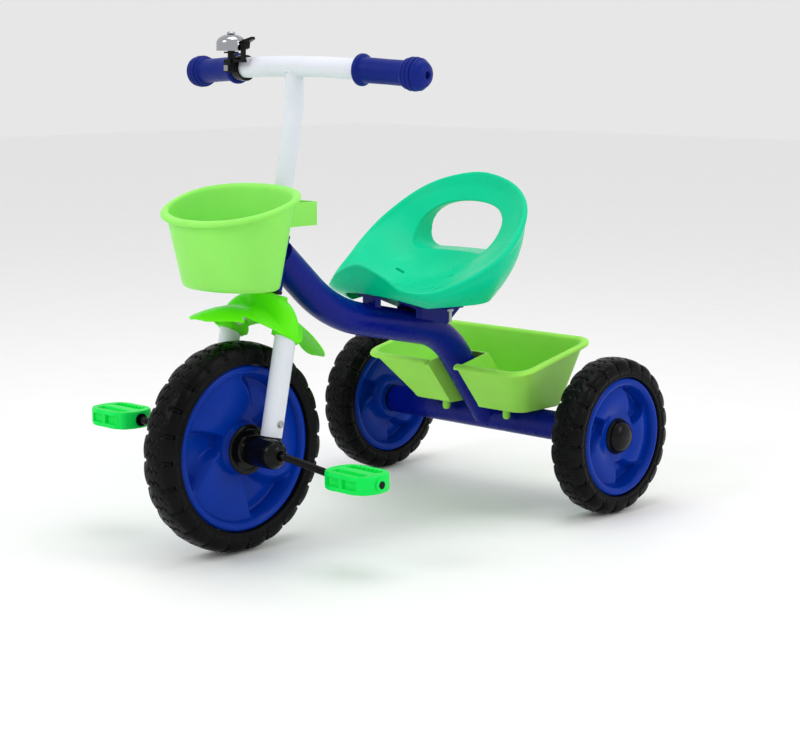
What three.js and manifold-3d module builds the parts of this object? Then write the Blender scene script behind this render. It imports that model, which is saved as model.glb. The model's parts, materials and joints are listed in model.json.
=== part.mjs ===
// A child's pedal tricycle: steel frame, plastic wheels, moulded seat, front basket and rear tray.
// Millimetres, +Z up, the front wheel towards -Y, the rider's left towards +X.
// The origin is on the floor, under the middle of the tricycle's length.
import * as THREE from 'three';
import { mergeVertices } from 'three/addons/utils/BufferGeometryUtils.js';
import Module from 'manifold-3d';

const wasm = await Module();
wasm.setup();

// ---------------------------------------------------------------- driving dimensions

const GAP = 0.3; // between pieces that touch or are joined
const SPIN_GAP = 0.6; // between a turning shaft and its bore, corners included

const FRONT_WHEEL = { radius: 125, width: 47, rimRadius: 98.5, rimWidth: 39, dishWidth: 24, hubWidth: 44 };
const REAR_WHEEL = { radius: 100, width: 45, rimRadius: 75.5, rimWidth: 42, dishWidth: 20, hubWidth: 34 };
const RIM_WALL = 3;
const RIM_BAND = 11;
const HUB_RADIUS = 26;
const WHEELBASE = 458;
const REAR_TRACK = 404;

const RAKE = THREE.MathUtils.degToRad(12);
const FORK_OFFSET = 18.25; // how far the front axle lies ahead of the steering axis
const LEG_CLEARANCE = 10; // above the tyre, where the legs start to bend
const LEG = {
  spread: 48, lead: 7.5, radius: 12.7, wall: 1.5, bottom: 19, bend: 33,
  bendStart: FRONT_WHEEL.radius + LEG_CLEARANCE,
};
const CRANK = { radius: 4.5, arm: 35, angle: THREE.MathUtils.degToRad(-31), bendRadius: 12 };
const PEDAL = { reach: 173.3, length: 74, width: 56, height: 21 };
const FORK_END = { radius: 17.5, inner: 33, outer: 80 };
const HUB_FLANGE = { radius: 30, thickness: 4 };

const STEERER_RADIUS = 8.9;
const TUBE = { radius: 20.5, wall: 1.6 };
const HEAD_CLEARANCE = 64; // between the tyre and the head tube, along the steering axis
const HEAD_END = 10; // how far the head tube reaches past the main tube, above and below
const HEAD_TUBE = {
  radius: 16, wall: 2.8, bottom: FRONT_WHEEL.radius + HEAD_CLEARANCE, length: 2 * (TUBE.radius + HEAD_END),
};
// Height of the head tube's foot over the floor.
const HEAD_FOOT = FRONT_WHEEL.radius - FORK_OFFSET * Math.sin(RAKE) + HEAD_TUBE.bottom * Math.cos(RAKE);
const CUP_HEIGHT = 5;
const CROWN = { radius: 19.5, height: 30 };
const STEM = { radius: 11, wall: 1.5, bend: 80 };
const COLLAR = { radius: 14.5, height: 6 };
const BAR_RISE = 259.32; // of the bar above the head tube's foot
const BAR = {
  height: HEAD_FOOT + BAR_RISE, setback: 102, radius: 12.25, wall: 1.45, halfLength: 188, straightFrom: 100,
};
const BAR_SWEEP = 14; // setback of the bar at the grip ends
const BAR_DROOP = 7.4; // fall of the bar at the grip ends
const BAR_SWEEP_AT = 181;
const GRIP_WALL = { flange: 6.25, barrel: 2.35, end: 6.75 }; // from the bar outwards
const GRIP = {
  start: 103, length: 97, flangeRadius: BAR.radius + GRIP_WALL.flange,
  barrelRadius: BAR.radius + GRIP_WALL.barrel, endRadius: BAR.radius + GRIP_WALL.end,
};

const AXLE_TUBE = { radius: 19, wall: 1.6, length: 348 };
const AXLE_RADIUS = 5;

// The seat stands ahead of the rear axle.
const SEAT = { ahead: 130, height: 268, width: 250, length: 229, rise: 158, wall: 3.4, boltSpread: 43.7 };
// How far below the seat's height the main tube's bends lie.
const TUBE_UNDER_SEAT = { front: TUBE.radius - 18.5, rear: TUBE.radius + 24.5 };
const TUBE_BEHIND_WHEEL = 33; // from the front tyre back to the main tube's first bend
const SEAT_HOLE = { width: 124, bottom: 60, top: 121 };
const PLATE = 2.5; // thickness of the steel plates under the seat

const TRAY = { width: 282, floorWidth: 200, floorAhead: 55, floorBehind: 39, rimAhead: 103, rimBehind: 50 };
const TRAY_RIM = { front: 62, rear: 94, lip: 8, lipDepth: 6 };
const TRAY_WALL = 2.4;
const TRAY_PEG = { spread: 53.4, radius: 5, ahead: 29, depth: 15 };

// Above the head tube's foot.
const BASKET_RISE = { rim: 125.92, bottom: 5.92, clipTop: 100.92, clipBottom: 72.92 };
const BASKET = {
  halfWidth: 96, front: 65, back: 54, rimHeight: HEAD_FOOT + BASKET_RISE.rim, rimSlope: 0.33,
  bottom: HEAD_FOOT + BASKET_RISE.bottom,
};
const BASKET_FLOOR = { halfWidth: 67, front: 48, back: 37, round: 5 };
const BASKET_LIP = { width: 8, depth: 8 };
const BASKET_WALL = 2.6;
const BASKET_CLIP = {
  halfWidth: 20, back: 121, bottom: HEAD_FOOT + BASKET_RISE.clipBottom,
  top: HEAD_FOOT + BASKET_RISE.clipTop, wall: 3.2,
};

const GUARD_CLEARANCE = 39; // over the tyre
const GUARD = {
  radius: FRONT_WHEEL.radius + GUARD_CLEARANCE, thickness: 3, halfWidth: 34, tipHalfWidth: 20,
  neckRadius: 24, wall: 2.6,
};

const BELL_RISE = 8.25; // of the dome's edge above the bar
const CLAMP_HALF_WIDTH = 6;
const BELL_SLANT = 0.1633; // room beside the grip for the bar's slant, as a share of the bar's radius
const BELL = {
  x: CLAMP_HALF_WIDTH + BELL_SLANT * BAR.radius - GRIP.start, radius: 18, bottom: BAR.radius + BELL_RISE,
  height: 20, wall: 1.3,
};

// ---------------------------------------------------------------- derived places

const LENGTH = FRONT_WHEEL.radius + WHEELBASE + REAR_WHEEL.radius;
const FRONT_AXLE = new THREE.Vector3(0, FRONT_WHEEL.radius - LENGTH / 2, FRONT_WHEEL.radius);
const REAR_AXLE = new THREE.Vector3(0, FRONT_AXLE.y + WHEELBASE, REAR_WHEEL.radius);

// Steering frame: +Z up the steering axis, the front axle at (0, -FORK_OFFSET, 0).
const steeringOrigin = new THREE.Vector3(
  0,
  FRONT_AXLE.y + FORK_OFFSET * Math.cos(RAKE),
  FRONT_AXLE.z - FORK_OFFSET * Math.sin(RAKE),
);
const STEERING_AXLE = new THREE.Vector3(0, -FORK_OFFSET, 0);

// The same point of the tricycle, measured in the steering frame.
function inSteering(x, y, z) {
  const point = new THREE.Vector3(x, y, z).sub(steeringOrigin);
  return point.applyAxisAngle(new THREE.Vector3(1, 0, 0), RAKE);
}

// A point behind the front axle, in the tricycle's frame.
function behindFront(x, back, height) {
  return new THREE.Vector3(x, FRONT_AXLE.y + back, height);
}

// ---------------------------------------------------------------- solids and surfaces

const MERGE_DISTANCE = 1e-4;

function solid(geometry) {
  const bare = geometry.index ? geometry.toNonIndexed() : geometry.clone();
  bare.deleteAttribute('normal');
  bare.deleteAttribute('uv');
  const merged = mergeVertices(bare, MERGE_DISTANCE);
  const mesh = new wasm.Mesh({
    numProp: 3,
    vertProperties: merged.attributes.position.array,
    triVerts: new Uint32Array(merged.index.array),
  });
  return new wasm.Manifold(mesh);
}

function surface(manifold) {
  const mesh = manifold.getMesh();
  const geometry = new THREE.BufferGeometry();
  geometry.setAttribute('position', new THREE.BufferAttribute(new Float32Array(mesh.vertProperties), 3));
  geometry.setIndex(new THREE.BufferAttribute(new Uint32Array(mesh.triVerts), 1));
  geometry.computeVertexNormals();
  return geometry;
}

function join(...solids) {
  return solids.reduce((whole, next) => whole.add(next));
}

function cut(whole, ...tools) {
  return tools.reduce((rest, tool) => rest.subtract(tool), whole);
}

// A regular polygon outline with its corners at the radius.
function polygon(sides, radius) {
  const points = [];
  for (let k = 0; k < sides; k += 1) {
    const angle = (2 * Math.PI * k) / sides;
    points.push(new THREE.Vector2(radius * Math.cos(angle), radius * Math.sin(angle)));
  }
  return points;
}

// A turned piece round +Z. The profile is [radius, height] pairs, up the outside and down the bore.
function turned(profile, sides, turn = 0) {
  const points = profile.map(([radius, height]) => new THREE.Vector2(radius, height));
  if (profile[0][0] > 0) {
    points.push(points[0].clone());
  }
  const geometry = new THREE.LatheGeometry(points, sides, turn);
  geometry.rotateX(Math.PI / 2);
  return geometry;
}

// The same piece lying along +X, with a flat of the polygon at the bottom.
function turnedAcross(profile, sides) {
  const geometry = turned(profile, sides, Math.PI / sides);
  geometry.rotateY(Math.PI / 2);
  return geometry;
}

// A profile for a plain sleeve.
function sleeve(outer, inner, bottom, top) {
  return [[inner, bottom], [outer, bottom], [outer, top], [inner, top]];
}

// A profile for a solid round bar.
function bar(radius, bottom, top) {
  return [[0, bottom], [radius, bottom], [radius, top], [0, top]];
}

function box(xMin, xMax, yMin, yMax, zMin, zMax) {
  const geometry = new THREE.BoxGeometry(xMax - xMin, yMax - yMin, zMax - zMin);
  geometry.translate((xMin + xMax) / 2, (yMin + yMax) / 2, (zMin + zMax) / 2);
  return geometry;
}

// A side outline of [y, z] pairs, extruded across from xMin to xMax.
function sidePlate(outline, xMin, xMax) {
  const shape = new THREE.Shape(outline.map(([y, z]) => new THREE.Vector2(y, z)));
  const geometry = new THREE.ExtrudeGeometry(shape, { depth: xMax - xMin, bevelEnabled: false });
  geometry.rotateY(Math.PI / 2);
  geometry.rotateX(Math.PI / 2);
  geometry.translate(xMin, 0, 0);
  return geometry;
}

// A closed body from rings of points: the first and last rings are capped with fans.
function shell(rings) {
  const positions = [];
  const put = (point) => positions.push(point.x, point.y, point.z);
  const fan = (ring, flipped) => {
    const centre = new THREE.Vector3();
    ring.forEach((point) => centre.addScaledVector(point, 1 / ring.length));
    ring.forEach((point, k) => {
      const next = ring[(k + 1) % ring.length];
      (flipped ? [centre, next, point] : [centre, point, next]).forEach(put);
    });
  };
  fan(rings[0], true);
  for (let r = 0; r + 1 < rings.length; r += 1) {
    const [low, high] = [rings[r], rings[r + 1]];
    low.forEach((point, k) => {
      const next = (k + 1) % low.length;
      [point, low[next], high[next]].forEach(put);
      [point, high[next], high[k]].forEach(put);
    });
  }
  fan(rings[rings.length - 1], false);
  const geometry = new THREE.BufferGeometry();
  geometry.setAttribute('position', new THREE.Float32BufferAttribute(positions, 3));
  return geometry;
}

// A route through corners with round bends; the sweep has stations only where the route turns.
class Route extends THREE.Curve {
  constructor(corners, bendRadius, bendSteps) {
    super();
    this.stations = [this.station(corners[0], corners[1], corners[0])];
    for (let k = 1; k + 1 < corners.length; k += 1) {
      this.addBend(corners[k - 1], corners[k], corners[k + 1], bendRadius[k - 1], bendSteps);
    }
    const [before, last] = corners.slice(-2);
    this.stations.push(this.station(before, last, last));
    this.steps = this.stations.length - 1;
  }

  station(from, to, point) {
    return { point: point.clone(), tangent: to.clone().sub(from).normalize() };
  }

  addBend(before, corner, after, radius, steps) {
    const inward = corner.clone().sub(before).normalize();
    const outward = after.clone().sub(corner).normalize();
    const turn = inward.angleTo(outward);
    const start = corner.clone().addScaledVector(inward, -radius * Math.tan(turn / 2));
    const side = outward.clone().addScaledVector(inward, -outward.dot(inward)).normalize();
    for (let k = 0; k <= steps; k += 1) {
      const angle = (turn * k) / steps;
      const point = start.clone();
      point.addScaledVector(inward, radius * Math.sin(angle));
      point.addScaledVector(side, radius * (1 - Math.cos(angle)));
      const tangent = inward.clone().multiplyScalar(Math.cos(angle)).addScaledVector(side, Math.sin(angle));
      this.stations.push({ point, tangent });
    }
  }

  at(t, key, target) {
    const place = Math.min(Math.max(t, 0), 1) * this.steps;
    const index = Math.min(Math.floor(place), this.steps - 1);
    const [from, to] = [this.stations[index][key], this.stations[index + 1][key]];
    return target.copy(from).lerp(to, place - index);
  }

  getPoint(t, target = new THREE.Vector3()) {
    return this.at(t, 'point', target);
  }

  getTangent(t, target = new THREE.Vector3()) {
    return this.at(t, 'tangent', target).normalize();
  }

  getUtoTmapping(u) {
    return u;
  }
}

// A round bar or tube swept along a route. A tube's bore is left out when the wall is zero.
function swept(route, radius, wall, sides) {
  const shape = new THREE.Shape(polygon(sides, radius));
  if (wall > 0) {
    shape.holes.push(new THREE.Path(polygon(sides, radius - wall)));
  }
  return new THREE.ExtrudeGeometry(shape, { steps: route.steps, extrudePath: route, bevelEnabled: false });
}

// ---------------------------------------------------------------- materials

const COLOURS = {
  frameBlue: [0x04188c, 0.25, 0.1],
  rimBlue: [0x0a34b0, 0.35, 0],
  gripBlue: [0x16229a, 0.5, 0],
  white: [0xe4eaee, 0.2, 0.05],
  black: [0x101012, 0.45, 0],
  steel: [0xb8bcc0, 0.3, 0.9],
  chrome: [0xd8dcde, 0.1, 1],
  basketGreen: [0x97f567, 0.4, 0],
  trayGreen: [0x86dc46, 0.4, 0],
  guardGreen: [0x4fe41e, 0.35, 0],
  pedalGreen: [0x00ea5e, 0.45, 0],
  seatGreen: [0x00dfa3, 0.35, 0],
};

const root = new THREE.Group();
const steering = new THREE.Group();
steering.position.copy(steeringOrigin);
steering.rotation.x = -RAKE;
root.add(steering);

function piece(name, geometry, colour, parent = root) {
  const [color, roughness, metalness] = COLOURS[colour];
  const mesh = new THREE.Mesh(geometry, new THREE.MeshStandardMaterial({ color, roughness, metalness }));
  mesh.name = name;
  parent.add(mesh);
  return mesh;
}

// Both sides, by name: the rider's left is +X.
const SIDES = [['left', 1], ['right', -1]];

// ---------------------------------------------------------------- wheels

const TYRE_SIDES = 36;
const RIM_SIDES = 20;

function tyre({ radius, width, rimRadius }) {
  const half = width / 2;
  const seat = rimRadius + GAP;
  const flat = 1 / Math.cos(Math.PI / TYRE_SIDES); // puts the flats, not the corners, on the radius
  const profile = [
    [seat, 4 - half], [seat + 5, -half], [radius - 10, -half], [radius, 10 - half],
    [radius, half - 10], [radius - 10, half], [seat + 5, half], [seat, half - 4],
  ];
  return turnedAcross(profile.map(([r, x]) => [r * flat, x]), TYRE_SIDES);
}

// A spool: two dished discs on a hub barrel, open between the discs where the tyre covers it.
function rim({ rimRadius, rimWidth, dishWidth, hubWidth }, bore, hubShift = 0) {
  const [band, dish] = [rimWidth / 2, dishWidth / 2];
  const [hubLow, hubHigh] = [hubShift - hubWidth / 2, hubShift + hubWidth / 2];
  const slot = dish - RIM_WALL;
  const bandStart = rimRadius - RIM_BAND;
  const dishStart = HUB_RADIUS + 4;
  const profile = [
    [bore, hubLow], [HUB_RADIUS, hubLow], [dishStart, -dish], [bandStart, -dish], [bandStart, -band],
    [rimRadius, -band], [rimRadius, -slot], [dishStart, -slot], [dishStart, slot], [rimRadius, slot],
    [rimRadius, band], [bandStart, band], [bandStart, dish], [dishStart, dish], [HUB_RADIUS, hubHigh],
    [bore, hubHigh],
  ];
  return turnedAcross(profile, RIM_SIDES);
}

function frontWheel() {
  const wheel = new THREE.Group();
  wheel.position.copy(FRONT_AXLE);
  root.add(wheel);
  const hubFace = FRONT_WHEEL.hubWidth / 2;
  piece('front_tyre', tyre(FRONT_WHEEL), 'black', wheel);
  piece('front_rim', rim(FRONT_WHEEL, CRANK.radius + GAP), 'rimBlue', wheel);
  piece('crank_axle', crankAxle(), 'black', wheel);
  for (const [side, sign] of SIDES) {
    const face = hubFace + GAP;
    const bore = CRANK.radius + GAP;
    const disc = face + HUB_FLANGE.thickness;
    const boss = FORK_END.inner - 1;
    const profile = [
      [bore, face], [HUB_FLANGE.radius - 2, face], [HUB_FLANGE.radius, face + 1.5],
      [HUB_FLANGE.radius - 2, disc], [15, disc], [13, boss], [bore, boss],
    ];
    const flange = piece(`${side}_hub_flange`, turnedAcross(profile, 20), 'black', wheel);
    flange.rotation.y = sign > 0 ? 0 : Math.PI;
  }
}

function pedalPlace(sign) {
  return new THREE.Vector3(
    sign * PEDAL.reach,
    sign * CRANK.arm * Math.cos(CRANK.angle),
    sign * CRANK.arm * Math.sin(CRANK.angle),
  );
}

// One bent rod: the wheel's axle in the middle, a crank throw and a pedal spindle at each end.
function crankAxle() {
  const spindleStart = PEDAL.reach - PEDAL.length / 2 - 8;
  const spindleEnd = PEDAL.reach + PEDAL.length / 2 + 4;
  const throwStart = FORK_END.outer + 6;
  const corners = [];
  for (const sign of [-1, 1]) {
    const pedal = pedalPlace(sign);
    const outer = new THREE.Vector3(sign * spindleEnd, pedal.y, pedal.z);
    const inner = new THREE.Vector3(sign * spindleStart, pedal.y, pedal.z);
    const hub = new THREE.Vector3(sign * throwStart, 0, 0);
    corners.push(...(sign < 0 ? [outer, inner, hub] : [hub, inner, outer]));
  }
  const bends = [CRANK.bendRadius, CRANK.bendRadius, CRANK.bendRadius, CRANK.bendRadius];
  return swept(new Route(corners, bends, 3), CRANK.radius, 0, 12);
}

function pedals() {
  for (const [side, sign] of SIDES) {
    const place = FRONT_AXLE.clone().add(pedalPlace(sign));
    const holder = new THREE.Group();
    holder.position.copy(place);
    root.add(holder);
    piece(`${side}_pedal`, pedalBody(), 'pedalGreen', holder);
    const outer = sign * (PEDAL.length / 2 + GAP);
    const inner = sign * (-PEDAL.length / 2 - GAP);
    const ring = sleeve(8, CRANK.radius + GAP, 0, 2);
    const cap = piece(`${side}_pedal_cap`, turnedAcross(ring, 12), 'steel', holder);
    cap.position.x = sign > 0 ? outer : outer - 2;
    const washer = piece(`${side}_pedal_washer`, turnedAcross(ring, 12), 'black', holder);
    washer.position.x = sign > 0 ? inner - 2 : inner;
  }
}

function pedalBody() {
  const outline = (scale, z) => {
    const ring = [];
    for (let k = 0; k < 24; k += 1) {
      const angle = (2 * Math.PI * k) / 24;
      const [c, s] = [Math.cos(angle), Math.sin(angle)];
      const x = Math.sign(c) * Math.abs(c) ** 0.55 * (PEDAL.length / 2) * scale;
      const y = Math.sign(s) * Math.abs(s) ** 0.8 * (PEDAL.width / 2) * scale;
      ring.push(new THREE.Vector3(x, y, z));
    }
    return ring;
  };
  const half = PEDAL.height / 2;
  const rings = [outline(0.95, -half), outline(1, 3 - half), outline(1, half - 3), outline(0.95, half)];
  const bore = solid(turnedAcross(bar(CRANK.radius + SPIN_GAP, -PEDAL.length, PEDAL.length), 16));
  return surface(solid(shell(rings)).subtract(bore));
}

function rearWheels() {
  for (const [side, sign] of SIDES) {
    const wheel = new THREE.Group();
    wheel.position.set((sign * REAR_TRACK) / 2, REAR_AXLE.y, REAR_AXLE.z);
    wheel.rotation.y = sign > 0 ? 0 : Math.PI;
    root.add(wheel);
    piece(`${side}_rear_tyre`, tyre(REAR_WHEEL), 'black', wheel);
    piece(`${side}_rear_rim`, rim(REAR_WHEEL, AXLE_RADIUS + SPIN_GAP, REAR_HUB_SHIFT), 'rimBlue', wheel);
    piece(`${side}_hub_cap`, hubCap(), 'black', wheel);
    const nut = sleeve(9, AXLE_RADIUS + GAP, HUB_FACE + 0.6, HUB_FACE + 3);
    piece(`${side}_axle_nut`, turnedAcross(nut, 12), 'steel', wheel);
  }
}

const REAR_HUB_SHIFT = REAR_WHEEL.hubWidth / 2 - REAR_WHEEL.width / 2;
// The outer face of the rear hub, from the wheel's middle.
const HUB_FACE = REAR_HUB_SHIFT + REAR_WHEEL.hubWidth / 2;
const HUB_CAP = { radius: 23.5, height: 15, wall: 2 };
const BUSH_FLANGE = 3;
const BUSH_END = AXLE_TUBE.length / 2 + GAP + BUSH_FLANGE; // outer face of the axle bush

// A cup with a domed end, open towards the wheel.
function hubCap() {
  const { radius, height, wall } = HUB_CAP;
  const face = HUB_FACE + GAP;
  const top = face + height;
  const profile = [
    [radius - wall, face], [radius, face], [radius, face + 6], [radius * 0.86, face + 10.5],
    [radius * 0.5, top - 1], [0, top], [0, top - wall], [radius * 0.5, top - wall - 1],
    [radius * 0.8, face + 8], [radius - wall, face + 5],
  ];
  return closedCup(profile, 20);
}

// A turned cup whose profile touches the axis twice: the outer skin less the hollow.
function closedCup(profile, sides) {
  const touch = profile.findIndex(([r]) => r === 0);
  const low = profile[0][1];
  const outer = [[0, low], ...profile.slice(1, touch), profile[touch]];
  const inner = profile.slice(touch + 1).reverse();
  const mouth = inner[0][0];
  const end = inner[inner.length - 1][1];
  const hollow = [[0, low - 1], [mouth, low - 1], ...inner.slice(1), [0, end]];
  return surface(solid(turnedAcross(outer, sides)).subtract(solid(turnedAcross(hollow, sides))));
}

// ---------------------------------------------------------------- fork, in the steering frame

const CROWN_TOP = HEAD_TUBE.bottom - CUP_HEIGHT - 2 * GAP;
const HEAD_TOP = HEAD_TUBE.bottom + HEAD_TUBE.length;
const STEM_BOTTOM = HEAD_TOP + CUP_HEIGHT + 2 * GAP;

// A leg rises straight, then bends in towards the crown.
function legRoute(sign, bottom = LEG.bottom) {
  const corner = LEG.bendStart + LEG.bend * Math.tan(THREE.MathUtils.degToRad(75) / 2);
  const lean = THREE.MathUtils.degToRad(75);
  const reach = LEG.spread - 9;
  return new Route(
    [
      new THREE.Vector3(sign * LEG.spread, -LEG.lead, bottom),
      new THREE.Vector3(sign * LEG.spread, -LEG.lead, corner),
      new THREE.Vector3(sign * (LEG.spread - reach), -LEG.lead, corner + reach / Math.tan(lean)),
    ],
    [LEG.bend],
    4,
  );
}

function forkCrown() {
  const bottom = CROWN_TOP - CROWN.height;
  const body = solid(turned([
    [0, bottom], [CROWN.radius - 3, bottom], [CROWN.radius, bottom + 3], [CROWN.radius, CROWN_TOP],
    [STEERER_RADIUS, CROWN_TOP], [STEERER_RADIUS, STEM_BOTTOM + 52], [0, STEM_BOTTOM + 52],
  ], 20));
  const sockets = SIDES.map(([, sign]) => solid(swept(legRoute(sign), LEG.radius + GAP, 0, 16)));
  return surface(cut(body, ...sockets));
}

function forkEnd() {
  const { radius, inner, outer } = FORK_END;
  const profile = [
    [0, inner], [radius, inner], [radius, outer - 13], [radius * 0.9, outer - 7],
    [radius * 0.6, outer - 2], [CRANK.radius + 2, outer], [0, outer],
  ];
  const boss = solid(turnedAcross(profile, 18).translate(0, STEERING_AXLE.y, 0));
  const spigotRadius = (LEG.radius - LEG.wall) * Math.cos(Math.PI / 16) - GAP;
  const post = [
    [0, -6], [LEG.radius, 0], [LEG.radius, LEG.bottom - GAP], [spigotRadius, LEG.bottom - GAP],
    [spigotRadius, LEG.bottom + 28], [0, LEG.bottom + 28],
  ];
  const plug = solid(turned(post, 16).translate(LEG.spread, -LEG.lead, 0));
  const bore = solid(turnedAcross(bar(CRANK.radius + SPIN_GAP, inner - 5, outer + 5), 16)
    .translate(0, STEERING_AXLE.y, 0));
  return surface(cut(boss.add(plug), bore, legBoltHole()));
}

const LEG_BOLT = { height: 35, radius: 2.2, head: 4.5 };

function legBoltHole() {
  const reach = LEG.radius + 5;
  const hole = turnedAcross(bar(LEG_BOLT.radius + GAP, LEG.spread - reach, LEG.spread + reach), 12);
  return solid(hole.translate(0, -LEG.lead, LEG_BOLT.height));
}

// A leg, with the hole that its bolt passes through.
function forkLeg() {
  const tube = solid(swept(legRoute(1), LEG.radius, LEG.wall, 16));
  return surface(tube.subtract(legBoltHole()));
}

function legBolt() {
  const face = LEG.spread + LEG.radius + GAP;
  const profile = [
    [0, LEG.spread - LEG.radius - 2], [LEG_BOLT.radius, LEG.spread - LEG.radius - 2],
    [LEG_BOLT.radius, face], [LEG_BOLT.head, face], [LEG_BOLT.head - 1, face + 2.2], [0, face + 2.6],
  ];
  return turnedAcross(profile, 12).translate(0, -LEG.lead, LEG_BOLT.height);
}

// A mirrored holder makes the rider's right side from the left side's shape.
function mirrored(parent, sign) {
  const holder = new THREE.Group();
  holder.scale.x = sign;
  parent.add(holder);
  return holder;
}

function fork() {
  piece('fork_crown', forkCrown(), 'white', steering);
  for (const [side, sign] of SIDES) {
    const holder = mirrored(steering, sign);
    piece(`${side}_fork_leg`, forkLeg(), 'white', holder);
    piece(`${side}_fork_end`, forkEnd(), 'black', holder);
    piece(`${side}_fork_bolt`, legBolt(), 'steel', holder);
  }
}

// ---------------------------------------------------------------- mudguard, in the steering frame

// Ends of the blade, as angles round the front axle from straight back.
const GUARD_REAR = THREE.MathUtils.degToRad(46);
const GUARD_FRONT = THREE.MathUtils.degToRad(121.5);

function guardBlade() {
  const stations = 10;
  const across = 6;
  const rings = [];
  for (let k = 0; k <= stations; k += 1) {
    const along = k / stations;
    const angle = GUARD_REAR + (GUARD_FRONT - GUARD_REAR) * along;
    const middle = Math.sin(Math.PI * along);
    const tip = Math.min(1, 0.55 + 5 * Math.min(along, 1 - along));
    const half = (GUARD.tipHalfWidth + (GUARD.halfWidth - GUARD.tipHalfWidth) * middle) * tip;
    const ring = [];
    const put = (x, radius) => {
      const sag = 7 * (x / GUARD.halfWidth) ** 2;
      const out = radius - sag;
      ring.push(new THREE.Vector3(x, -FORK_OFFSET + out * Math.cos(angle), out * Math.sin(angle)));
    };
    for (let j = 0; j <= across; j += 1) {
      put(-half + (2 * half * j) / across, GUARD.radius);
    }
    for (let j = across; j >= 0; j -= 1) {
      put(-half + (2 * half * j) / across, GUARD.radius + GUARD.thickness);
    }
    rings.push(ring);
  }
  return shell(rings);
}

// The shoulder that spreads from the neck down to both legs.
function guardShoulder() {
  const sleeveRadius = LEG.radius + GAP + GUARD.wall;
  const steps = [[1, 0], [0.8, 0.12], [0.5, 0.45], [0.28, 0.8], [0, 1]];
  const [low, high] = [LEG.bendStart - 4, CROWN_TOP - 2];
  const rings = steps.map(([rise, spread]) => {
    const halfX = GUARD.neckRadius + (LEG.spread + sleeveRadius - GUARD.neckRadius) * spread;
    const halfY = GUARD.neckRadius + (sleeveRadius + 2 - GUARD.neckRadius) * spread;
    const ring = [];
    for (let k = 0; k < 20; k += 1) {
      const angle = (-2 * Math.PI * k) / 20;
      const [c, s] = [Math.cos(angle), Math.sin(angle)];
      const square = 1 - 0.25 * spread;
      const x = Math.sign(c) * Math.abs(c) ** square * halfX;
      const y = Math.sign(s) * Math.abs(s) ** square * halfY - LEG.lead * spread;
      ring.push(new THREE.Vector3(x, y, low + (high - low) * rise));
    }
    return ring;
  });
  return shell(rings);
}

function mudguard() {
  const neck = solid(turned(bar(GUARD.neckRadius, LEG.bendStart + 20, CROWN_TOP), 20));
  const sleeves = SIDES.map(([, sign]) =>
    solid(swept(legRoute(sign, LEG.bendStart - 12), LEG.radius + GAP + GUARD.wall, 0, 14)));
  const outside = join(solid(guardBlade()), solid(guardShoulder()), neck, ...sleeves);
  const arch = solid(turnedAcross(bar(GUARD.radius - 2, -33, 33), 36).translate(0, -FORK_OFFSET, 0));
  const crown = solid(turned(bar(CROWN.radius + GAP, 0, CROWN_TOP + 5), 20));
  const legs = SIDES.map(([, sign]) => solid(swept(legRoute(sign, 0), LEG.radius + 2 * GAP, 0, 14)));
  return surface(cut(outside, arch, crown, ...legs));
}

// ---------------------------------------------------------------- steering column and handlebar

function headTube() {
  const bore = HEAD_TUBE.radius - HEAD_TUBE.wall;
  return turned(sleeve(HEAD_TUBE.radius, bore, HEAD_TUBE.bottom, HEAD_TOP), 20);
}

// A flanged bush pressed into an end of the head tube, along +Z from the end's face.
function headCup() {
  const bore = STEERER_RADIUS + SPIN_GAP;
  const outer = HEAD_TUBE.radius - HEAD_TUBE.wall - GAP;
  const flange = HEAD_TUBE.radius + 0.5;
  return turned([
    [bore, -12], [outer, -12], [outer, GAP], [flange, GAP], [flange, CUP_HEIGHT - 1],
    [flange - 1, CUP_HEIGHT], [bore, CUP_HEIGHT],
  ], 20);
}

const barCentre = inSteering(0, FRONT_AXLE.y + BAR.setback, BAR.height);
const upright = new THREE.Vector3(0, -Math.sin(RAKE), Math.cos(RAKE)); // straight up, in the steering frame

// The stem follows the steering axis, then turns upright to meet the bar.
function stem() {
  const bend = new THREE.Vector3(0, 0, barCentre.z + (barCentre.y / Math.sin(RAKE)) * Math.cos(RAKE));
  const route = new Route([new THREE.Vector3(0, 0, STEM_BOTTOM), bend, barCentre], [STEM.bend], 3);
  const tube = solid(swept(route, STEM.radius, STEM.wall, 20));
  const cope = solid(turnedAcross(bar(BAR.radius + GAP, -40, 40), 20).translate(0, barCentre.y, barCentre.z));
  return surface(tube.subtract(cope));
}

// How far the bar has moved at a distance from the middle: a parabola that runs on straight.
function barShift(x, atGrip) {
  const straight = BAR.straightFrom;
  const share = atGrip / (straight ** 2 + 2 * straight * (BAR_SWEEP_AT - straight));
  const near = Math.min(Math.abs(x), straight);
  return share * (near ** 2 + 2 * straight * (Math.abs(x) - near));
}

// The handlebar's centre line, in the tricycle's frame.
function barPoint(x) {
  return behindFront(x, BAR.setback + barShift(x, BAR_SWEEP), BAR.height - barShift(x, BAR_DROOP));
}

class BarCurve extends THREE.Curve {
  getPoint(t, target = new THREE.Vector3()) {
    return target.copy(barPoint((2 * t - 1) * BAR.halfLength));
  }
}

function handlebar() {
  const shape = new THREE.Shape(polygon(14, BAR.radius));
  shape.holes.push(new THREE.Path(polygon(14, BAR.radius - BAR.wall)));
  return new THREE.ExtrudeGeometry(shape, { steps: 10, extrudePath: new BarCurve(), bevelEnabled: false });
}

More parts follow.
